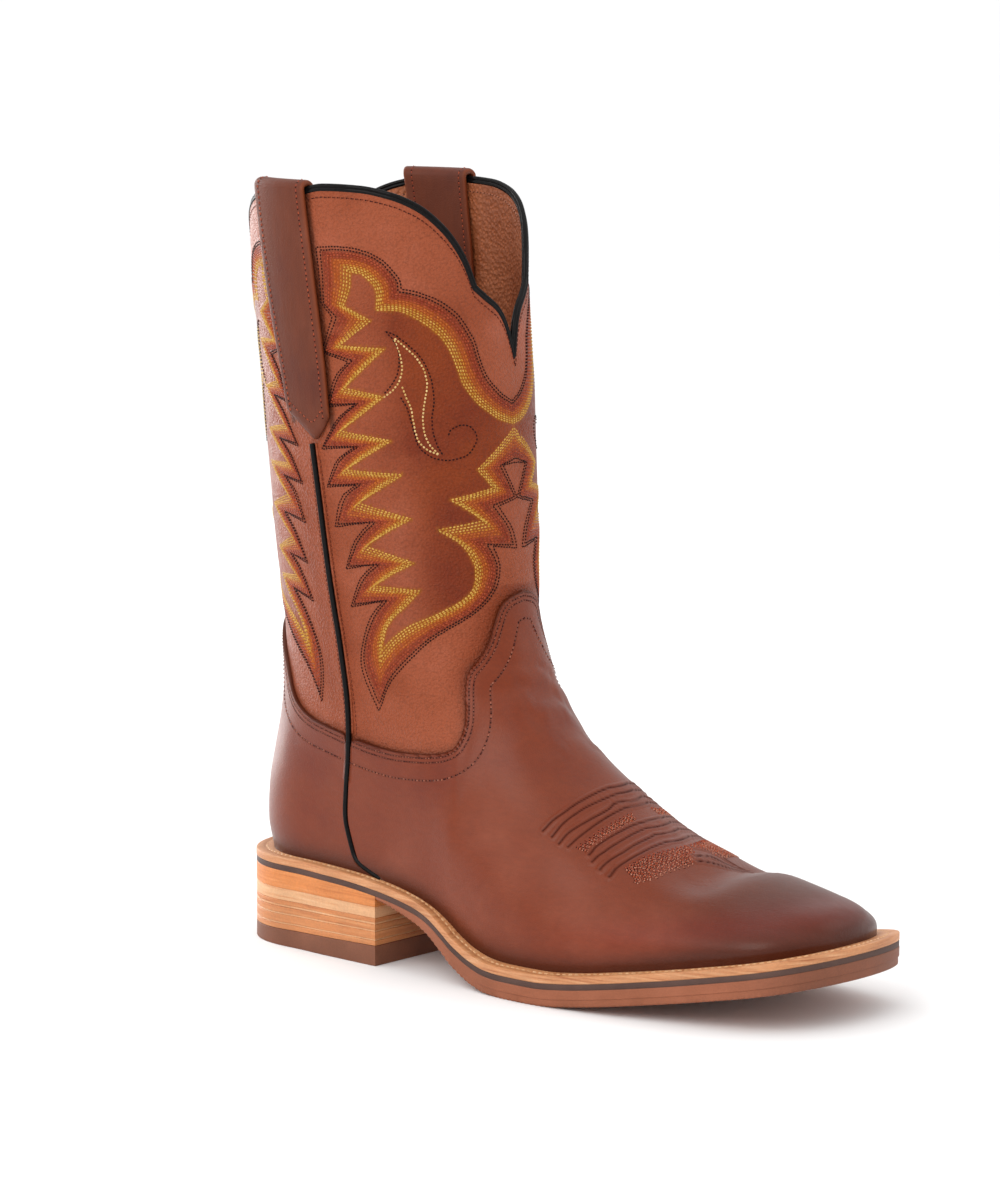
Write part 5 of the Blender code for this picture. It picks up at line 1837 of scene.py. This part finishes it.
def build_pull_strap(name, side):
    """Leather strap folded over the collar, with rounded edges and its own stitching."""
    across = 0.5 - 0.5 * np.cos(np.pi * np.linspace(0, 1, 19))
    rim = COLLAR_HEIGHT
    bead = rim + 2 * COLLAR_BEAD + 3 * GAP
    outside = STRAP_OUTER_GAP
    inside = -UPPER_WALL - STRAP_INNER_GAP
    middle = (outside + inside) / 2
    half = (outside - inside) / 2
    fold_high = 1.3 * MM
    arc = np.linspace(0, np.pi, 11)
    outer_rows, inner_rows, edge_field = [], [], []
    for a in across:
        end = float(np.interp(a, *STRAP_ENDS))
        thick = STRAP_THICK * math.sqrt(max(1 - max(abs(2 * a - 1) - 0.93, 0) ** 2 / 0.07 ** 2 * 0.85, 0.1))
        slack = STRAP_THICK / 2 - thick / 2
        legs_out = list(np.linspace(end, bead - fold_high, 44))
        legs_in = list(np.linspace(bead - fold_high, rim - STRAP_INSIDE, 20))
        outer, inner = [], []
        for z in legs_out[:-1]:
            near_end = 1 - math.exp(-max(z - end, 0) / (1.0 * MM))
            outer.append(strap_surface(side, a, outside + slack + thick * (0.35 + 0.65 * near_end), z)[0])
            inner.append(strap_surface(side, a, outside + slack, z)[0])
        for angle in arc:
            z_in = bead - fold_high + fold_high * math.sin(angle)
            z_out = bead - fold_high + (fold_high + STRAP_THICK - slack) * math.sin(angle)
            reach_in = middle + (half + slack) * math.cos(angle)
            reach_out = middle + (half + STRAP_THICK - slack) * math.cos(angle)
            outer.append(strap_surface(side, a, reach_out, z_out)[0])
            inner.append(strap_surface(side, a, reach_in, z_in)[0])
        for z in legs_in[1:]:
            outer.append(strap_surface(side, a, inside - slack - thick, z)[0])
            inner.append(strap_surface(side, a, inside - slack, z)[0])
        outer_rows.append(outer)
        inner_rows.append(inner)
        edge_field.append(min(a, 1 - a))
    outer_rows = np.array(outer_rows)
    inner_rows = np.array(inner_rows)
    wide, long = outer_rows.shape[:2]
    vertices = np.vstack([outer_rows.reshape(-1, 3), inner_rows.reshape(-1, 3)])
    start = wide * long
    faces = grid_faces(wide, long, flip=side > 0) + grid_faces(wide, long, flip=side < 0, start=start)
    borders = [(row * long, 1, long, (row == 0) == (side > 0)) for row in (0, wide - 1)]
    borders += [(column, long, wide, (column == 0) == (side < 0)) for column in (0, long - 1)]
    for first, stride, count, ahead in borders:
        for k in range(count - 1):
            a, b = first + k * stride, first + (k + 1) * stride
            quad = (a, b, start + b, start + a)
            faces.append(quad if ahead else quad[::-1])
    edge = np.tile(np.repeat(edge_field, long), 2)
    make_piece(name + "_cover", vertices, faces, LOOKS["strap"], (name,), {"edge": edge})
    normal_rows = unit(np.cross(np.gradient(outer_rows, axis=1), np.gradient(outer_rows, axis=0)))
    if normal_rows[wide // 2, 5, 1] * side < 0:
        normal_rows = -normal_rows
    for share in (0.12, 0.90):
        position = np.interp(share, across, np.arange(wide))
        i = int(position)
        t = position - i
        line = outer_rows[i] * (1 - t) + outer_rows[i + 1] * t
        ups = normal_rows[i] * (1 - t) + normal_rows[i + 1] * t
        STITCHES["rust"].run(line[1:], ups[1:], "strap")
    near_tip = 3
    STITCHES["rust"].run(outer_rows[4:-4, near_tip], normal_rows[4:-4, near_tip], "strap_end")


# Sole and heel


def outline_points(inset, low, high, count, start=0.0, end=SOLE_LENGTH):
    """Lateral and medial points of the sole outline, close together at rounded ends."""
    t = (1 - np.cos(np.pi * np.linspace(0, 1, count))) / 2
    x = low + (high - low) * t
    lateral, medial = sole_sides(x, inset, start, end)
    return x, lateral, medial


def stack_plate(name, loops, material, stands_for=(), fields=None):
    """Solid through side loops given as x, lateral y, medial y and height arrays."""
    rings = []
    for x, lateral, medial, z in loops:
        left = np.column_stack([x, lateral, z])
        right = np.column_stack([x, medial, z])
        rings.append(np.vstack([left, right[::-1]]))
    count = len(rings[0])
    half = count // 2
    faces = grid_faces(len(rings), count, closed=True)
    for base, flip in ((0, True), ((len(rings) - 1) * count, False)):
        for i in range(half - 1):
            quad = (base + i, base + i + 1, base + count - i - 2, base + count - i - 1)
            faces.append(quad[::-1] if flip else quad)
    flat_bevel(make_piece(name, np.vstack(rings), faces, material, stands_for, fields))


def flat_bevel(piece):
    """Keep flat faces flat where the mesh turns sharply."""
    piece.data.set_sharp_from_angle(angle=math.radians(38))


def build_welt():
    """Welt strip with rounded edges and a channel for its stitching."""
    section = [
        # inset, height from the top face, in millimetres
        (9.5, 0.15),
        (6.2, 0.15),
        (4.1, 0.12),
        (3.7, -0.10),
        (3.1, -0.10),
        (2.7, 0.10),
        (0.55, 0.02),
        (0.15, -0.16),
        (0.0, -0.50),
        (0.03, -2.2),
        (0.0, -2.85),
        (0.25, -3.15),
        (9.5, -3.15),
    ]
    rings = []
    for inset, height in section:
        x, lateral, medial = outline_points(
            inset * MM, inset * MM, SOLE_LENGTH - inset * MM, 260, inset * MM, SOLE_LENGTH - inset * MM
        )
        z = bed_top(x) + height * MM
        left = np.column_stack([x, lateral, z])
        right = np.column_stack([x, medial, z])
        rings.append(np.vstack([left, right[-2:0:-1]]))
    faces = grid_faces(len(rings), len(rings[0]), closed=True, flip=True, wrap=True)
    piece = make_piece("welt_strip", np.vstack(rings), faces, LOOKS["welt"], ("welt",))
    flat_bevel(piece)
    inset = 3.9 * MM
    x, lateral, medial = outline_points(inset, inset, SOLE_LENGTH - inset, 400, inset, SOLE_LENGTH - inset)
    z = bed_top(x) + 0.02 * MM
    loop = np.vstack([np.column_stack([x, lateral, z]), np.column_stack([x, medial, z])[::-1]])
    STITCHES["natural"].run(loop, np.tile([0.0, 0.0, 1.0], (len(loop), 1)), "welt")


def build_midsole():
    """Thin dark layer under the welt with rounded edges."""
    top = WELT_THICK + 0.1 * MM
    low = top + MIDSOLE_THICK + GAP
    section = [
        (0.30 * MM, lambda x: bed_top(x) - low - 0.1 * MM),
        (0.12 * MM, lambda x: bed_top(x) - low + 0.15 * MM),
        (0.12 * MM, lambda x: bed_top(x) - top - 0.25 * MM),
        (0.30 * MM, lambda x: bed_top(x) - top + 0.05 * MM),
    ]
    loops = []
    for inset, height in section:
        x, lateral, medial = outline_points(
            inset, inset, SOLE_LENGTH - inset, 220, inset, SOLE_LENGTH - inset
        )
        loops.append((x, lateral, medial, height(x)))
    stack_plate("midsole_layer", loops, LOOKS["midsole"], ("midsole",))


def build_outsole():
    """Rubber forepart with a low side step and fine notches at its lower edge."""
    drop = WELT_THICK + MIDSOLE_THICK + 1.5 * GAP
    start = HEEL_LENGTH + GAP

    def top(x):
        return bed_top(x) - drop

    def middle(x):
        return 0.45 * top(x) + 0.55 * outsole_base(x)

    section = [
        (0.90 * MM, lambda x: outsole_base(x)),
        (0.48 * MM, lambda x: outsole_base(x) + 0.25 * MM),
        (OUTSOLE_STEP, lambda x: outsole_base(x) + 0.8 * MM),
        (OUTSOLE_STEP, lambda x: middle(x) - 0.15 * MM),
        (0.05 * MM, lambda x: middle(x) + 0.1 * MM),
        (0.02 * MM, lambda x: top(x) - 0.35 * MM),
        (0.30 * MM, lambda x: top(x)),
    ]
    loops = []
    for k, (inset, height) in enumerate(section):
        x, lateral, medial = outline_points(
            inset, start, SOLE_LENGTH - inset, 420, 0.0, SOLE_LENGTH - inset
        )
        if k < 2:
            length = np.concatenate([[0], np.cumsum(np.hypot(np.diff(x), np.diff(lateral)))])
            notch = 0.45 * MM * (np.sin(2 * np.pi * length / (2.4 * MM)) > 0.2)
            notch = notch * ease(start, start + 5 * MM, x)
            lateral = lateral + notch
            medial = medial - notch
        loops.append((x, lateral, medial, height(x)))
    # Painted shade: the outsole darker towards its toe end.
    shade = np.concatenate([0.5 * ease(0.255, 0.300, np.append(x, x[::-1])) for x, _, _, _ in loops])
    stack_plate("outsole_rubber", loops, LOOKS["outsole"], ("outsole",), {"shade": shade})


def cap_top(x):
    return HEEL_CAP_BACK + (HEEL_CAP_FRONT - HEEL_CAP_BACK) * x / HEEL_LENGTH


def heel_plate(name, low, high, inset, material, stands_for=()):
    """One layer of the heel, with its edge a little rounded."""
    section = [
        (inset + 0.18 * MM, low),
        (inset, lambda x: low(x) + 0.22 * MM),
        (inset, lambda x: high(x) - 0.22 * MM),
        (inset + 0.18 * MM, high),
    ]
    loops = []
    for depth, height in section:
        t = np.linspace(0, 1, 90)
        x = depth + (HEEL_LENGTH - 2 * depth) * t ** 1.7
        lateral, medial = sole_sides(x, depth, depth, SOLE_LENGTH)
        loops.append((x, lateral, medial, height(x)))
    stack_plate(name, loops, material, stands_for)


def build_heel():
    """Stacked heel: a wedge under the seat, then lifts with pale layers between, then the cap."""
    drop = WELT_THICK + MIDSOLE_THICK + 1.5 * GAP
    seam = 0.02 * MM

    def seat(x):
        return bed_top(x) - drop

    def wedge(x):
        return WEDGE_FOOT + 0.4 * MM * x / HEEL_LENGTH

    def foot(x):
        return cap_top(x) + 0.5 * GAP

    layers = [
        # share of the stack from the cap to the wedge, look
        (0.00, "lift"),
        (0.13, "pale_lift"),
        (0.165, "lift"),
        (0.36, "pale_lift"),
        (0.40, "lift"),
        (0.55, "pale_lift"),
        (0.60, "lift"),
        (0.71, "pale_lift"),
        (1.00, None),
    ]
    for number, ((low, kind), (high, _)) in enumerate(zip(layers[:-1], layers[1:])):
        def floor(x, share=low):
            return foot(x) * (1 - share) + wedge(x) * share + seam

        def roof(x, share=high):
            return foot(x) * (1 - share) + wedge(x) * share - seam

        inset = (0.05 if kind == "lift" else 0.12) * MM
        stands = ("heel_stack",) if number == 0 else ()
        heel_plate(
            "heel_lift_%d" % (number + 1), floor, roof, inset, LOOKS[kind], stands
        )
    heel_plate("heel_wedge", lambda x: wedge(x) + seam, seat, 0.05 * MM, LOOKS["wedge"])
    heel_plate(
        "heel_cap_rubber", lambda x: 0.0 * x, lambda x: cap_top(x) + 0.2 * GAP, 0.0, LOOKS["cap"],
        ("heel_cap",)
    )


def build_insole():
    """Footbed inside the upper with a rounded upper edge."""
    inside = UPPER_WALL + OVERLAY_WALL + 0.9 * MM
    loops = []
    for more, height in ((0.0, -WELT_THICK), (0.0, INSOLE_THICK - 0.8 * MM), (0.5 * MM, INSOLE_THICK)):
        low = FEATHER_BACK + inside + more
        high = FEATHER_FRONT - inside - more
        t = (1 - np.cos(np.pi * np.linspace(0, 1, 160))) / 2
        x = low + (high - low) * t
        lateral, medial = sole_sides(x, feather_inset(x) + inside + more, low, high)
        loops.append((x, lateral, medial, bed_top(x) + height))
    stack_plate("footbed", loops, LOOKS["insole"], ("insole",))


# Light, floor and camera


def area_light(name, place, size, power):
    """Softbox that faces the boot."""
    data = bpy.data.lights.new(name, "AREA")
    data.shape = "RECTANGLE"
    data.size, data.size_y = size
    data.energy = power
    light = put(name, data)
    light.location = place
    light.rotation_mode = "QUATERNION"
    light.rotation_quaternion = (Vector(LIGHT_AIM) - Vector(place)).to_track_quat("-Z", "Y")


def build_stage():
    """Pale floor, a sky that darkens to the horizon, and the softboxes."""
    mesh = bpy.data.meshes.new("floor")
    corners = [(x * FLOOR_REACH, y * FLOOR_REACH, 0) for x, y in ((-1, -1), (1, -1), (1, 1), (-1, 1))]
    mesh.from_pydata(corners, [], [(0, 1, 2, 3)])
    look = Look("floor_pale")
    shade = look.ramp(look.noise(1.5, 2), [(0.3, (0.86, 0.86, 0.86)), (0.7, (0.88, 0.88, 0.88))])
    mesh.materials.append(look.finish(shade, 0.9))
    put("floor", mesh)

    world = bpy.data.worlds.new("studio")
    bpy.context.scene.world = world
    world.use_nodes = True
    nodes = world.node_tree.nodes
    links = world.node_tree.links
    place = nodes.new("ShaderNodeTexCoord")
    split = nodes.new("ShaderNodeSeparateXYZ")
    ramp = nodes.new("ShaderNodeValToRGB")
    ramp.color_ramp.elements[0].color = (HORIZON_SHARE, HORIZON_SHARE, HORIZON_SHARE, 1.0)
    links.new(place.outputs["Generated"], split.inputs[0])
    links.new(split.outputs["Z"], ramp.inputs["Fac"])
    links.new(ramp.outputs["Color"], nodes["Background"].inputs["Color"])
    nodes["Background"].inputs["Strength"].default_value = SKY_LEVEL

    for name, place, size, power in LIGHTS:
        area_light(name, place, size, power)


def build_camera():
    data = bpy.data.cameras.new("camera")
    data.sensor_width = SENSOR_MM
    data.sensor_fit = "AUTO"
    data.lens = FOCAL_PIXELS / IMAGE_HIGH * SENSOR_MM
    data.clip_end = 100.0
    camera = put("camera", data)
    camera.location = CAMERA_PLACE + SHIFT
    camera.rotation_euler = (math.pi / 2 - CAMERA_DIP, 0.0, CAMERA_TURN)
    bpy.context.scene.camera = camera


STITCHES = {name: Threads(name, seed) for seed, name in enumerate(THREADS)}

build_camera()
build_stage()
build_shaft()
build_lining()
build_overlay("vamp", True)
build_overlay("counter", False)
sew_edges()
sew_panels()
sew_toe()
sew_collar()
sew_seams()
build_collar_piping()
build_side_piping("side_piping_lateral", False)
build_side_piping("side_piping_medial", True)
build_pull_strap("pull_strap_lateral", -1)
build_pull_strap("pull_strap_medial", 1)
build_welt()
build_midsole()
build_outsole()
build_heel()
build_insole()

THREAD_SLOTS = {
    "brick": "vamp_leather", "tan": "vamp_leather", "maroon": "vamp_leather", "russet": "vamp_leather",
}
for thread_name, threads in STITCHES.items():
    threads.finish(THREADS[thread_name], THREAD_SLOTS.get(thread_name, "shaft_leather"))
HOLES.finish(LOOKS["holes"], "shaft_leather")

bpy.context.scene.view_settings.view_transform = "Standard"
bpy.context.view_layer.update()
